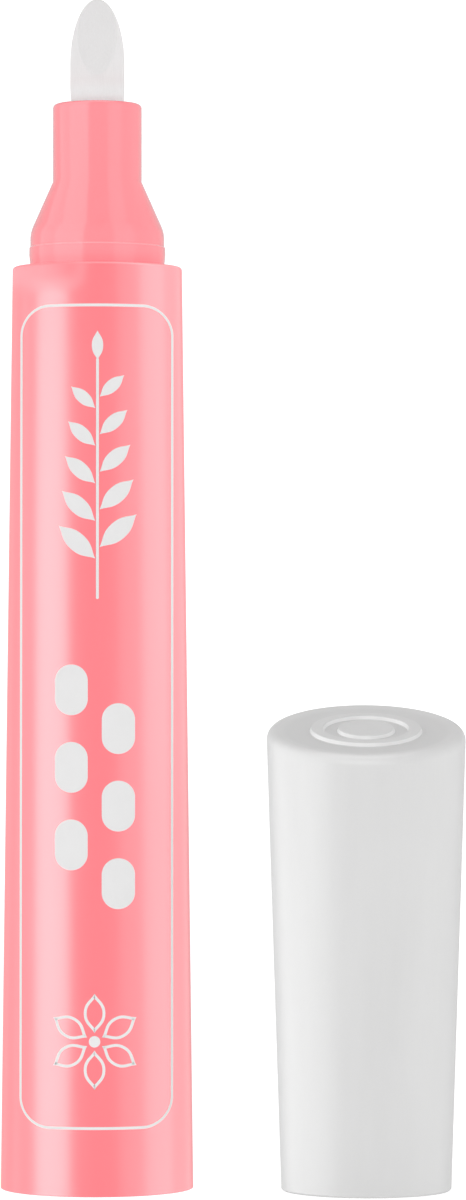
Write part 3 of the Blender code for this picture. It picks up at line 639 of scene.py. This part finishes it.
def slice_off(piece, point, normal):
    """Cuts off what lies beyond a plane and fills the cut, and leaves the new face selected."""
    edit(piece)
    bpy.ops.mesh.bisect(plane_co=point, plane_no=normal, use_fill=True, clear_outer=True, threshold=MERGE)
    bpy.ops.mesh.select_all(action="SELECT")
    bpy.ops.mesh.normals_make_consistent(inside=False)
    level = normal.dot(Vector(point))

    def on_cut(face):
        off_cut = abs(normal.dot(face.calc_center_median()) - level)
        return face.normal.dot(normal) > ALIGNED and off_cut < MERGE

    pick_faces(piece, on_cut)


def upright_circle(name, place, radius, points, fill):
    """A circle that stands upright and faces the front, as a ring of edges or as a flat face."""
    bpy.ops.object.select_all(action="DESELECT")
    bpy.ops.mesh.primitive_circle_add(
        vertices=points, radius=radius, fill_type=fill, location=place, rotation=(QUARTER_TURN, 0, 0)
    )
    circle = bpy.context.object
    circle.name = name
    bpy.ops.object.transform_apply(location=True, rotation=True, scale=True)
    return circle


def cut_away(piece, cutter):
    """Takes a cutter's shape out of a piece for good."""
    choose(piece)
    cut = piece.modifiers.new("cut", "BOOLEAN")
    cut.operation = "DIFFERENCE"
    cut.solver = "EXACT"
    cut.object = cutter
    bpy.ops.object.modifier_apply(modifier=cut.name)
    bpy.data.objects.remove(cutter)


def copy_of(piece):
    """A copy of a piece with its own mesh, open in edit mode with all of it selected."""
    choose(piece)
    bpy.ops.object.duplicate()
    copied = bpy.context.object
    edit(copied)
    return copied


def ring_of(piece, count, axis, centre):
    """A piece and its copies, turned round a centre in even steps."""
    pieces = [piece]
    for index in range(1, count):
        pieces.append(copy_of(piece))
        turn = math.tau * index / count
        bpy.ops.transform.rotate(value=turn, orient_axis=axis, center_override=centre)
        close_edit(outside=False)
    return pieces


def dress(piece, material, body, slot, *nodes):
    """Gives a finished piece its smooth shading, material and body, and hides the nodes it stands for. Its
    slot is not used.
    """
    choose(piece)
    bpy.ops.object.shade_smooth_by_angle(angle=SHARP_ANGLE)
    piece.data.materials.clear()
    piece.data.materials.append(material)
    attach(piece, body)
    if nodes:
        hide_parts(*nodes)


def coat_node(name, material):
    """Gives a node of the frame that stays in view its material."""
    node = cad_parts[name]
    node.data.materials.clear()
    node.data.materials.append(material)


def named_material(name, maker, *details):
    """A material by name, made the first time that it is asked for."""
    return bpy.data.materials.get(name) or maker(*details)


def barrel_bore(size, height):
    """Radius of the barrel's bore at a height."""
    taper = (size.base_radius - size.mouth_radius) * height / size.length
    return size.base_radius - taper - size.wall


class NAILPEN_OT_barrel(bpy.types.Operator):
    """Model the tapered barrel with its lip and its plug seat"""

    bl_idname = "nailpen.barrel"
    bl_label = "Barrel"

    def execute(self, context):
        size = context.scene.nail_pen.barrel
        lip_bottom = size.length - size.lip_length
        seat = barrel_bore(size, size.seat_depth) + size.seat_step
        outline = rounded([
            (seat + size.chamfer, 0, 0),
            (size.base_radius, 0, size.base_round),
            (size.mouth_radius, size.length, size.edge_round),
            (size.lip_bore, size.length, size.chamfer / 2),
            (size.lip_bore, lip_bottom, size.chamfer / 2),
            (barrel_bore(size, lip_bottom), lip_bottom, size.edge_round),
            (barrel_bore(size, size.seat_depth), size.seat_depth, 0),
            (seat, size.seat_depth, 0),
            (seat, size.chamfer, 0),
        ])
        barrel = turn_rings("barrel_tube", PEN_AXIS, outline)
        blend = size.dull_blend

        # Where the painted highlight lies, along the mouth's rounded edge.
        def mouth_edge_highlight(finish):
            return finish.step(finish.depth(BARREL_TOP, UP), -size.edge_round, -size.edge_round / 2)

        def corner(finish, near, far):
            height = finish.depth((0, 0, size.length - size.dull_depth), UP)
            across = finish.depth((0, 0, 0), -RIGHT)
            return finish.step(height, -blend, blend) * finish.step(across, near, far)

        # Where the painted light lies, on the rougher left part of the mouth.
        def painted_light_mask(finish):
            return corner(finish, blend, blend * 4)

        def rubbed(finish):
            return corner(finish, 0.0, blend * 2) * size.dull_roughness

        # Both layers are painted light: a lighter patch at the mouth's left and a highlight line along its
        # edge.
        layers = ((size.painted_light_colour, painted_light_mask), (size.painted_highlight_colour, mouth_edge_highlight))
        material = moulded_plastic(
            "barrel_pink", size.colour, size.roughness, coat=0.0, layers=layers, dull=rubbed, ior=size.ior
        )
        dress(barrel, material, "pen", "barrel_plastic", "barrel")
        return {"FINISHED"}


class NAILPEN_OT_tail_plug(bpy.types.Operator):
    """Model the cup-shaped plug in the barrel's rear end"""

    bl_idname = "nailpen.tail_plug"
    bl_label = "Tail Plug"

    def execute(self, context):
        size = context.scene.nail_pen.barrel
        radius = PLUG_TOP.x
        inner = radius - size.plug_skirt
        outline = rounded([
            (MERGE, 0, 0),
            (radius, 0, size.chamfer),
            (radius, PLUG_TOP.z, size.chamfer),
            (inner, PLUG_TOP.z, size.chamfer / 2),
            (inner, size.plug_face, size.chamfer * 2),
            (MERGE, size.plug_face, 0),
        ])
        plug = turn_rings("rear_plug", PEN_AXIS, outline, closed=False)
        material = moulded_plastic("plug_pink", size.colour, size.roughness, coat=0.3)
        dress(plug, material, "pen", "barrel_plastic", "tail_plug")
        return {"FINISHED"}


class NAILPEN_OT_nose(bpy.types.Operator):
    """Model the nose: nib tube, cone, collar, snap bead and hidden skirt"""

    bl_idname = "nailpen.nose"
    bl_label = "Nose"

    def execute(self, context):
        size = context.scene.nail_pen.nose
        base = context.scene.nail_pen.barrel.length
        bead_top = base + size.bead_height
        middle = base + size.bead_height * size.bead_middle
        lift = size.bead_radius - size.collar_radius
        fine = size.ledge / 2
        roof = size.cone_foot + size.chamber_wall
        outline = rounded([
            (size.nib_bore, NOSE_TOP.z, fine),
            (size.tube_radius, NOSE_TOP.z, size.edge_round),
            (size.tube_radius, size.cone_top, 0),
            (size.collar_radius, size.cone_foot, size.blend),
            (size.collar_radius, bead_top + fine, 0),
            (size.collar_radius + lift * size.bead_crown, bead_top - fine, 0),
            (size.bead_radius, middle, size.bead_height / 3),
            (size.collar_radius, base + size.ledge, 0),
            (size.neck_radius, base + size.ledge, 0),
            (size.neck_radius, base - size.skirt_depth, fine),
            (size.seat_bore, base - size.skirt_depth, fine),
            (size.seat_bore, base + size.seat_height, 0),
            (size.chamber_radius, base + size.seat_height, 0),
            (size.chamber_radius, roof, 0),
            (size.nib_bore, roof + size.chamber_roof, 0),
        ])
        nose = turn_rings("nose_moulding", PEN_AXIS, outline)

        # Painted shade at the collar's foot, next to the barrel's mouth.
        def foot(finish):
            return 1 - finish.step(finish.depth((0, 0, 0), UP), base - size.ledge, base + size.shade_height)

        # Painted shade along the tube's upper edge.
        def painted_edge_shade(finish):
            return finish.step(finish.depth(NOSE_TOP, UP), -size.shade_edge, -size.shade_edge / 4)

        # Where the painted highlight lies, on the ledge.
        def ledge(finish):
            height = finish.depth((0, 0, bead_top), UP)
            return finish.step(height, -size.ledge, -fine) * (1 - finish.step(height, fine, size.ledge))

        # The first two layers are painted shade and the last is a painted highlight.
        layers = ((size.painted_shade_colour, foot), (size.painted_shade_colour, painted_edge_shade), (size.painted_highlight_colour, ledge))
        material = moulded_plastic("nose_pink", size.colour, size.roughness, coat=0.6, layers=layers)
        dress(nose, material, "pen", "nose_plastic", "nose")
        return {"FINISHED"}


class NAILPEN_OT_nib(bpy.types.Operator):
    """Model the felt nib with its slanted writing face"""

    bl_idname = "nailpen.nib"
    bl_label = "Nib"

    def execute(self, context):
        size = context.scene.nail_pen.nib
        point_foot = NIB_TOP.z - size.point_length
        swell = NOSE_TOP.z + size.swell_height
        outline = rounded([
            (size.shank_radius / 2, NIB_LOW.z, 0),
            (size.shank_radius, NIB_LOW.z, size.rear_round),
            (size.shank_radius, swell - size.radius / 2, 0),
            (size.radius, swell, 0),
        ])[1:]
        for step in range(size.point_steps):
            angle = QUARTER_TURN * step / size.point_steps
            height = point_foot + size.point_length * math.sin(angle)
            outline.append(Vector((size.radius * math.cos(angle), height)))
        nib = turn_rings("felt_nib", PEN_AXIS, outline, SMALL_POINTS, closed=False)
        foot = Vector((0, -size.radius, NIB_TOP.z - size.face_drop))
        top = Vector((0, -size.face_offset, NIB_TOP.z))
        slant = RIGHT.cross(top - foot).normalized()
        slice_off(nib, foot, slant)
        bpy.ops.mesh.bevel(offset=size.face_round, segments=5, affect="EDGES", clamp_overlap=True)
        close_edit()
        dress(nib, felt_fibre(size, foot, slant), "nib", "nib_felt", "nib")
        return {"FINISHED"}


def cap_core(size, slant_normal):
    """The cutter for the cap's bore, with the stop ribs already taken out of it."""
    overrun = size.rib_proud
    outline = [
        (size.lip_bore + overrun, -overrun),
        (size.lip_bore, size.mouth_chamfer),
        (size.lip_bore, size.lip_land),
        (size.seat_bore, size.seat_height),
        (size.deep_bore, size.length + overrun),
    ]
    core = turn_rings("cap_core", CAP_AXIS, outline, closed=False)
    drop = (size.recess_depth + size.end_wall) / math.cos(size.slant)
    slice_off(core, (*CAP_AXIS, size.length - drop), slant_normal)
    close_edit()
    reach = size.seat_bore + overrun
    place = (CAP_AXIS[0] + reach, CAP_AXIS[1], size.seat_height + size.length / 2)
    bpy.ops.object.select_all(action="DESELECT")
    bpy.ops.mesh.primitive_cube_add(size=1, location=place)
    rib = bpy.context.object
    rib.scale = (2 * (size.rib_proud + overrun), size.rib_width, size.length)
    bpy.ops.object.transform_apply(location=True, rotation=True, scale=True)
    for cutter in ring_of(rib, size.rib_count, "Z", (*CAP_AXIS, 0)):
        cut_away(core, cutter)
    return core


class NAILPEN_OT_cap(bpy.types.Operator):
    """Model the cap's shell with its slanted, recessed end and a plain raised ring"""

    bl_idname = "nailpen.cap"
    bl_label = "Cap"

    def execute(self, context):
        size = context.scene.nail_pen.cap
        normal = Vector((0, -math.sin(size.slant), math.cos(size.slant)))
        tall = size.length + 2 * size.mouth_radius * math.tan(size.slant)
        top_radius = size.mouth_radius + size.flare * tall / size.length
        chamfer = size.mouth_chamfer
        outline = [(size.mouth_radius - chamfer, 0), (size.mouth_radius, chamfer), (top_radius, tall)]
        cap = turn_rings("cap_body", CAP_AXIS, outline, closed=False)
        slice_off(cap, (*CAP_AXIS, size.length), normal)
        bpy.ops.mesh.bevel(offset=size.edge_round, segments=6, affect="EDGES")
        pick_faces(cap, lambda face: face.normal.dot(normal) > ALIGNED and len(face.verts) > SMALL_POINTS)
        for inset, rise in (
            (size.rim_width - size.edge_round, 0),
            (size.recess_slope, -size.recess_depth),
            (size.ring_inset, 0),
            (size.ring_side, size.ring_height),
            (size.ring_width, 0),
            (size.ring_side, -size.ring_height),
            (size.disc_gap, 0),
            (size.ring_side, size.ring_height),
        ):
            bpy.ops.mesh.inset(thickness=inset, depth=rise)
        close_edit()
        cut_away(cap, cap_core(size, normal))
        floor_radius = top_radius - size.rim_width - size.recess_slope
        fine = size.ring_side / 6
        raised = size.ring_height - fine

        def height(finish):
            """Height over the recess's floor, as a slanted plane."""
            return finish.depth(Vector((*CAP_AXIS, size.length)) - normal * size.recess_depth, normal)

        # Where the painted shade lies, on the recess's floor.
        def recess_shade_mask(finish):
            edge = 1 - finish.step(finish.reach(CAP_AXIS), floor_radius, floor_radius + size.recess_slope)
            return edge * (1 - finish.step(height(finish), fine, raised))

        # Where the painted highlight lies, on the sloping sides of the raised ring and disc.
        def side_highlight_mask(finish):
            inside = 1 - finish.step(finish.reach(CAP_AXIS), floor_radius - fine, floor_radius)
            over = finish.step(height(finish), fine, fine * 2)
            return inside * over * (1 - finish.step(height(finish), raised - fine, raised))

        recess_shade_layer = (shade(size.colour, size.painted_recess_shade), recess_shade_mask)
        side_highlight_layer = (shade(size.colour, size.painted_side_highlight), side_highlight_mask)
        material = moulded_plastic(
            "cap_white", size.colour, size.roughness, coat=0.15, layers=(recess_shade_layer, side_highlight_layer)
        )
        dress(cap, material, "cap", "cap_plastic", "cap_shell")
        return {"FINISHED"}


class NAILPEN_OT_liner(bpy.types.Operator):
    """Model the inner cap: a flanged sleeve with a closed room for the nib"""

    bl_idname = "nailpen.liner"
    bl_label = "Cap Liner"

    def execute(self, context):
        size = context.scene.nail_pen.liner
        flange_top = LINER_LOW.z + size.flange
        sleeve = size.sleeve_bore + size.wall
        room = size.room_bore + size.wall
        outline = rounded([
            (MERGE, LINER_TOP.z, 0),
            (room, LINER_TOP.z, size.edge_round),
            (room, size.sleeve_top + size.wall, 0),
            (sleeve, size.sleeve_top, 0),
            (sleeve, flange_top, 0),
            (LINER_TOP.x - CAP_AXIS[0], flange_top, size.lead / 2),
            (LINER_TOP.x - CAP_AXIS[0], LINER_LOW.z, size.lead / 2),
            (size.sleeve_bore, LINER_LOW.z, size.lead),
            (size.sleeve_bore, size.sleeve_top, 0),
            (size.room_bore, size.sleeve_top, 0),
            (size.room_bore, LINER_TOP.z - size.wall, size.edge_round),
            (MERGE, LINER_TOP.z - size.wall, 0),
        ])
        liner = turn_rings("liner_sleeve", CAP_AXIS, outline, SMALL_POINTS, closed=False)
        material = named_material("natural_polymer", natural_polymer)
        dress(liner, material, "cap", "natural_plastic", "cap_liner")
        return {"FINISHED"}


class NAILPEN_OT_valve(bpy.types.Operator):
    """Give the valve's pieces their finishes, and wind the spring that the nib presses together"""

    bl_idname = "nailpen.valve"
    bl_label = "Valve"

    def execute(self, context):
        size = context.scene.nail_pen.valve
        for name in ("valve_cage", "valve_stem"):
            coat_node(name, named_material("natural_polymer", natural_polymer))
        coat_node("valve_seat", seal_rubber())
        low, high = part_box("valve_spring")
        length = high.z - low.z
        start = Vector((high.x - size.wire_radius, 0, low.z + size.wire_radius))
        spring = upright_circle("wound_spring", start, size.wire_radius, size.wire_sides, "NOTHING")
        winding = spring.modifiers.new("winding", "SCREW")
        winding.angle = math.tau / 2
        winding.iterations = size.half_turns
        winding.screw_offset = (length - 2 * size.wire_radius) / size.half_turns
        winding.steps = winding.render_steps = size.half_turn_steps
        bpy.ops.object.modifier_apply(modifier=winding.name)
        edit(spring)
        bpy.ops.mesh.fill_holes(sides=0)
        close_edit()
        dress(spring, spring_wire(), "pen", "spring_steel", "valve_spring")
        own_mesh(spring)
        return {"FINISHED"}


def flat_disc(name, place, radius, points=64):
    """A flat upright disc that faces the front, with no point on its own two axes."""
    disc = upright_circle(name, place, radius, points, "NGON")
    edit(disc)
    bpy.ops.transform.rotate(value=math.tau / points / 2, orient_axis="Y", center_override=place)
    close_edit(outside=False)
    return disc


def stretch_side(piece, place, way, reach):
    """Moves the half of a flat shape that lies on one side of a place further that way."""
    edit(piece)
    bpy.ops.mesh.select_all(action="DESELECT")
    shape = bmesh.from_edit_mesh(piece.data)
    for vert in shape.verts:
        vert.select_set((vert.co - place).dot(way) > 0)
    bmesh.update_edit_mesh(piece.data)
    bpy.ops.transform.translate(value=way * reach)
    close_edit(outside=False)


def rounded_panel(name, place, half_width, half_height, corner):
    """A flat upright panel with round corners."""
    panel = flat_disc(name, place, corner)
    for way, half in ((RIGHT, half_width), (UP, half_height)):
        stretch_side(panel, place, way, half - corner)
        stretch_side(panel, place, -way, half - corner)
    return panel


def keep_outline(piece, line, place=(0, 0, 0), widen=1):
    """Leaves only a line along a flat shape's edge, thinner at its sides where its opening is widened."""
    edit(piece)
    bpy.ops.mesh.select_mode(type="FACE")
    bpy.ops.mesh.inset(thickness=line)
    bpy.ops.transform.resize(value=(widen, 1, 1), center_override=place)
    bpy.ops.mesh.delete(type="FACE")
    close_edit(outside=False)


def almond(name, place, long, wide, angle):
    """A flat leaf shape, pointed at both ends and turned by an angle."""
    bpy.ops.object.select_all(action="DESELECT")
    bpy.ops.curve.primitive_bezier_circle_add(radius=1, location=(0, 0, 0))
    leaf = bpy.context.object
    leaf.data.dimensions = "2D"
    leaf.data.fill_mode = "BOTH"
    leaf.data.resolution_u = CURVE_STEPS
    bpy.ops.object.mode_set(mode="EDIT")
    bpy.ops.curve.select_all(action="DESELECT")
    for point in leaf.data.splines[0].bezier_points:
        at_tip = abs(point.co.x) > abs(point.co.y)
        point.select_control_point = at_tip
        point.select_left_handle = at_tip
        point.select_right_handle = at_tip
    bpy.ops.curve.handle_type_set(type="VECTOR")
    bpy.ops.object.mode_set(mode="OBJECT")
    leaf.scale = (long / 2, wide / 2, 1)
    bpy.ops.object.transform_apply(location=False, rotation=False, scale=True)
    bpy.ops.object.convert(target="MESH")
    leaf.name = name
    leaf.rotation_euler = (QUARTER_TURN, angle, 0)
    leaf.location = place
    bpy.ops.object.transform_apply(location=True, rotation=True, scale=True)
    return leaf


def join(name, pieces):
    """Joins flat shapes into one piece."""
    choose(*pieces)
    bpy.ops.object.join()
    joined = bpy.context.object
    joined.name = name
    return joined


def wrap_print(piece, size, ink="print_ink"):
    """Lays a flat design on the barrel's front as a thin skin of ink."""
    for way, width in ((RIGHT, size.strip), (UP, size.strip_length)):
        reaches = [vert.co.dot(way) for vert in piece.data.vertices]
        low = min(reaches)
        edit(piece)
        for index in range(1, math.ceil((max(reaches) - low) / width)):
            bpy.ops.mesh.select_all(action="SELECT")
            bpy.ops.mesh.bisect(plane_co=way * (low + index * width), plane_no=way, threshold=MERGE)
        close_edit(outside=False)
    choose(piece)
    wrap = piece.modifiers.new("wrap", "SHRINKWRAP")
    wrap.wrap_method = "PROJECT"
    wrap.wrap_mode = "ABOVE_SURFACE"
    wrap.use_project_y = True
    wrap.use_positive_direction = True
    wrap.use_negative_direction = False
    wrap.offset = size.lift
    wrap.target = bpy.data.objects["barrel_tube"]
    bpy.ops.object.modifier_apply(modifier=wrap.name)
    skin = piece.modifiers.new("ink", "SOLIDIFY")
    skin.thickness = size.ink
    skin.offset = -1
    bpy.ops.object.modifier_apply(modifier=skin.name)
    edit(piece)
    close_edit()
    colour = size.line_colour if ink == "line_ink" else size.colour
    dress(piece, named_material(ink, print_ink, ink, colour), "pen", "print_ink")


class NAILPEN_OT_border(bpy.types.Operator):
    """Print the fine border line on the barrel's front"""

    bl_idname = "nailpen.border"
    bl_label = "Border Line"

    def execute(self, context):
        size = context.scene.nail_pen.print
        half_height = (size.high - size.low) / 2
        place = Vector((size.shift, PRINT_FRONT, size.low + half_height))
        border = rounded_panel("print_border", place, size.half_width, half_height, size.corner)
        widen = (size.half_width - size.side_line) / (size.half_width - size.line)
        keep_outline(border, size.line, place, widen)
        wrap_print(border, size, "line_ink")
        return {"FINISHED"}


class NAILPEN_OT_sprig(bpy.types.Operator):
    """Print a leafy sprig on the upper part of the panel"""

    bl_idname = "nailpen.sprig"
    bl_label = "Leaf Sprig"

    def execute(self, context):
        size = context.scene.nail_pen.print
        design = context.scene.nail_pen.design
        foot = Vector((design.sprig_across, PRINT_FRONT, design.sprig_foot))
        top = foot + UP * (design.stem + design.leaf_length * design.bud_lift_share)
        half_stem = design.stem / 2
        half_line = size.line / 2
        pieces = [rounded_panel("stem", foot + UP * half_stem, half_line, half_stem, half_line - MERGE)]
        for index in range(design.leaf_pairs):
            share = index / design.leaf_pairs
            height = UP * (design.stem * (design.first_share + design.climb_share * share))
            shrink = 1 - design.shrink_share * share
            long = design.leaf_length * shrink
            wide = design.leaf_width * shrink
            for side in (-1, 1):
                angle = side * design.leaf_spread
                across = Vector((math.sin(angle), 0, math.cos(angle))) * (long / 2 + size.line)
                stagger = UP * (design.leaf_stagger if side > 0 else 0)
                place = foot + height + across + stagger
                pieces.append(almond("leaf", place, long, wide, angle - QUARTER_TURN))
        long = design.leaf_length * design.bud_length_share
        wide = design.leaf_width * design.bud_width_share
        pieces.append(almond("bud", top, long, wide, QUARTER_TURN))
        wrap_print(join("print_sprig", pieces), size)
        return {"FINISHED"}


class NAILPEN_OT_nails(bpy.types.Operator):
    """Print two staggered columns of bold nail shapes on the middle of the panel"""

    bl_idname = "nailpen.nails"
    bl_label = "Nail Shapes"

    def execute(self, context):
        size = context.scene.nail_pen.print
        design = context.scene.nail_pen.design
        half_width = design.nail_half_width
        place = Vector((design.nail_column, PRINT_FRONT, design.nail_first))
        nail = rounded_panel("nail", place, half_width, design.nail_half_height, half_width - MERGE)
        pieces = [nail]
        for index in range(1, design.nail_count):
            pieces.append(copy_of(nail))
            across = RIGHT * (-2 * design.nail_column if index % 2 else 0)
            bpy.ops.transform.translate(value=across + UP * (design.nail_pitch * index / 2))
            close_edit(outside=False)
        wrap_print(join("print_nails", pieces), size)
        return {"FINISHED"}


class NAILPEN_OT_flower(bpy.types.Operator):
    """Print an outlined flower at the foot of the panel"""

    bl_idname = "nailpen.flower"
    bl_label = "Flower"

    def execute(self, context):
        size = context.scene.nail_pen.print
        design = context.scene.nail_pen.design
        centre = Vector((0, PRINT_FRONT, design.flower_height))
        place = centre + UP * (design.hub + size.line + design.petal_length / 2)
        petal = almond("petal", place, design.petal_length, design.petal_width, -QUARTER_TURN)
        edit(petal)
        bpy.ops.mesh.dissolve_limited(angle_limit=math.radians(1))
        close_edit(outside=False)
        keep_outline(petal, size.line)
        hub = flat_disc("hub", centre, design.hub, points=32)
        flower = join("print_flower", [hub] + ring_of(petal, design.petal_count, "Y", centre))
        wrap_print(flower, size, "line_ink")
        return {"FINISHED"}


def add_softbox(name, place, width, height, brightness, receivers, lean=0.0):
    """A softbox that faces the pen's axis, or straight down when it hangs over the pen.

    It shines in reflections only, on its receivers alone, and the camera doesn't see it. A lean
    tilts its head away from the camera.
    """
    bpy.ops.object.select_all(action="DESELECT")
    bpy.ops.object.light_add(type="AREA", location=place)
    lamp = bpy.context.object
    lamp.name = name
    lamp.data.shape = "RECTANGLE"
    lamp.data.size = width
    lamp.data.size_y = height
    lamp.data.energy = brightness * PAPER_WATTS * width * height
    outward = Vector((place.x, place.y, 0))
    if outward.length > MM:
        lamp.rotation_euler = outward.to_track_quat("Z", "Y").to_euler()
        lamp.rotation_euler.rotate_axis("Z", lean)
    lamp.visible_camera = False
    lamp.visible_diffuse = False
    lit = bpy.data.collections.new(name)
    for receiver in receivers:
        lit.objects.link(bpy.data.objects[receiver])
    lamp.light_linking.receiver_collection = lit


def around(azimuth, distance, height):
    """A place round the pen, its azimuth in degrees from the camera's side, positive towards the cap."""
    angle = math.radians(azimuth)
    return Vector((math.sin(angle) * distance, -math.cos(angle) * distance, height))


def sweep_paper(glow):
    """Pale paper of the sweep, lit through so that it stays nearly white."""
    finish = Finish("sweep_paper", {"Emission Strength": glow, "Specular IOR Level": 0.1})
    clouds = finish.noise(size=60 * MM, detail=2.0)
    finish.paint(finish.mix(clouds, (0.68, 0.68, 0.68), (0.72, 0.72, 0.72)))
    finish.feed(finish.shader.inputs["Emission Color"], finish.mix(clouds, (0.98, 0.98, 0.98), (1, 1, 1)))
    finish.roughen(0.8 + clouds * 0.1)
    finish.material.cycles.emission_sampling = "NONE"
    return finish.material


def build_sweep(size):
    """The round white sweep that the pen stands on. It gives a soft light and isn't mirrored."""
    outline = rounded([
        (MERGE, 0, 0),
        (size.sweep_radius, 0, size.sweep_round),
        (size.sweep_radius, size.sweep_height, 0),
    ])
    sweep = turn_rings("sweep", PEN_AXIS, outline, SMALL_POINTS, closed=False)
    edit(sweep)
    pick_faces(sweep, lambda face: len(face.verts) > SMALL_POINTS / 2 and face.calc_center_median().z > MM)
    bpy.ops.mesh.delete(type="FACE")
    close_edit(outside=False)
    choose(sweep)
    bpy.ops.object.shade_smooth()
    sweep.data.materials.append(sweep_paper(size.sweep_glow))
    sweep.visible_glossy = False
    sweep.visible_shadow = False


def fill_air(scene, size):
    """The white air over the sweep."""
    world = bpy.data.worlds.new("studio_air")
    world.use_nodes = True
    background = world.node_tree.nodes["Background"]
    background.inputs["Color"].default_value = (1, 1, 1, 1)
    background.inputs["Strength"].default_value = size.air
    world.cycles.sampling_method = "NONE"
    scene.world = world


def hang_softboxes(size):
    """Softboxes for the barrel, the nose and the cap, each of which lights its own pieces alone.

    A standing box reaches from one azimuth to another, in degrees round the pen from the camera's
    side, positive towards the cap. The setting of its name is its brightness.
    """
    barrel = ("barrel_tube", "rear_plug")
    nose = ("nose_moulding", "felt_nib")
    cap = ("cap_body", "liner_sleeve")
    leaning = {"barrel_left_strip": (size.strip_high, size.strip_lean)}
    for name, start, end, receivers in (
        ("barrel_left", -118, -31, barrel),
        ("barrel_left_strip", -79, -34, barrel),
        ("barrel_left_back", -150, -104, barrel),
        ("barrel_right", 28, 118, barrel),
        ("barrel_right_strip", 60, 103, barrel),
        ("barrel_right_back", 112, 150, barrel),
        ("nose_left", -75, -22, nose),
        ("nose_left_side", -112, -75, nose),
        ("nose_right", 30, 66, nose),
        ("nose_right_side", 66, 120, nose),
        ("cap_left", -135, -40, cap),
        ("cap_right", 60, 112, cap),
    ):
        head, lean = leaning.get(name, (size.box_high, 0.0))
        width = 2 * size.box_distance * math.tan(math.radians(end - start) / 2)
        place = around((start + end) / 2, size.box_distance, (head - size.box_low) / 2)
        add_softbox(name, place, width, head + size.box_low, getattr(size, name), receivers, lean)
    place = around(0, size.front_reach, size.front_reach)
    add_softbox("cap_front", place, size.front_width, size.front_height, size.cap_front, cap)
    for name, receivers in (("barrel_top", barrel), ("nose_top", nose), ("cap_top", cap)):
        place = around(0, 0, size.box_high)
        add_softbox(name, place, size.top_side, size.top_side, getattr(size, name), receivers)


def place_camera(scene, size):
    """The camera, straight in front and a little lower than the point that it looks at."""
    camera_data = bpy.data.cameras.new("camera")
    camera = bpy.data.objects.new("camera", camera_data)
    scene.collection.objects.link(camera)
    aim = Vector((size.aim_x, 0, size.aim_z))
    back = Vector((0, -math.cos(size.tilt), math.sin(size.tilt)))
    camera.location = aim + back * size.distance
    camera.rotation_euler = (camera.location - aim).to_track_quat("Z", "Y").to_euler()
    camera_data.sensor_fit = "VERTICAL"
    camera_data.sensor_height = 36.0
    camera_data.lens = size.lens
    camera_data.clip_start = size.near_clip
    camera_data.clip_end = size.far_clip
    scene.camera = camera
    scene.view_settings.view_transform = "Standard"


class NAILPEN_OT_studio(bpy.types.Operator):
    """Set up the pale sweep, the soft lights and the camera"""

    bl_idname = "nailpen.studio"
    bl_label = "Studio"

    def execute(self, context):
        scene = context.scene
        size = scene.nail_pen.studio
        build_sweep(size)
        fill_air(scene, size)
        # The pen and its cap don't shade each other, like two pictures put together.
        for name in ("barrel_tube", "rear_plug", "cap_body", "liner_sleeve"):
            piece = bpy.data.objects[name]
            piece.visible_shadow = False
            piece.visible_diffuse = name == "cap_body"
            piece.visible_glossy = False
        hang_softboxes(size)
        place_camera(scene, size)
        return {"FINISHED"}


STEPS = (
    NAILPEN_OT_barrel,
    NAILPEN_OT_tail_plug,
    NAILPEN_OT_nose,
    NAILPEN_OT_nib,
    NAILPEN_OT_cap,
    NAILPEN_OT_liner,
    NAILPEN_OT_valve,
    NAILPEN_OT_border,
    NAILPEN_OT_sprig,
    NAILPEN_OT_nails,
    NAILPEN_OT_flower,
    NAILPEN_OT_studio,
)


class NAILPEN_PT_sidebar(bpy.types.Panel):
    """Lists the pen's pieces and its studio"""

    bl_idname = "NAILPEN_PT_sidebar"
    bl_label = "Nail Care Pen"
    bl_space_type = "VIEW_3D"
    bl_region_type = "UI"
    bl_category = "Nail Pen"

    def draw(self, context):
        for step in STEPS:
            self.layout.operator(step.bl_idname)


GROUPS = (
    BarrelSettings,
    NoseSettings,
    NibSettings,
    CapSettings,
    LinerSettings,
    ValveSettings,
    PrintSettings,
    DesignSettings,
    StudioSettings,
    NailPenSettings,
)


def register():
    for group in GROUPS + STEPS + (NAILPEN_PT_sidebar,):
        bpy.utils.register_class(group)
    bpy.types.Scene.nail_pen = PointerProperty(type=NailPenSettings)


def unregister():
    del bpy.types.Scene.nail_pen
    for group in reversed(GROUPS + STEPS + (NAILPEN_PT_sidebar,)):
        bpy.utils.unregister_class(group)


def main():
    register()
    for step in STEPS:
        group, action = step.bl_idname.split(".")
        getattr(getattr(bpy.ops, group), action)()


if __name__ == "__main__":
    main()
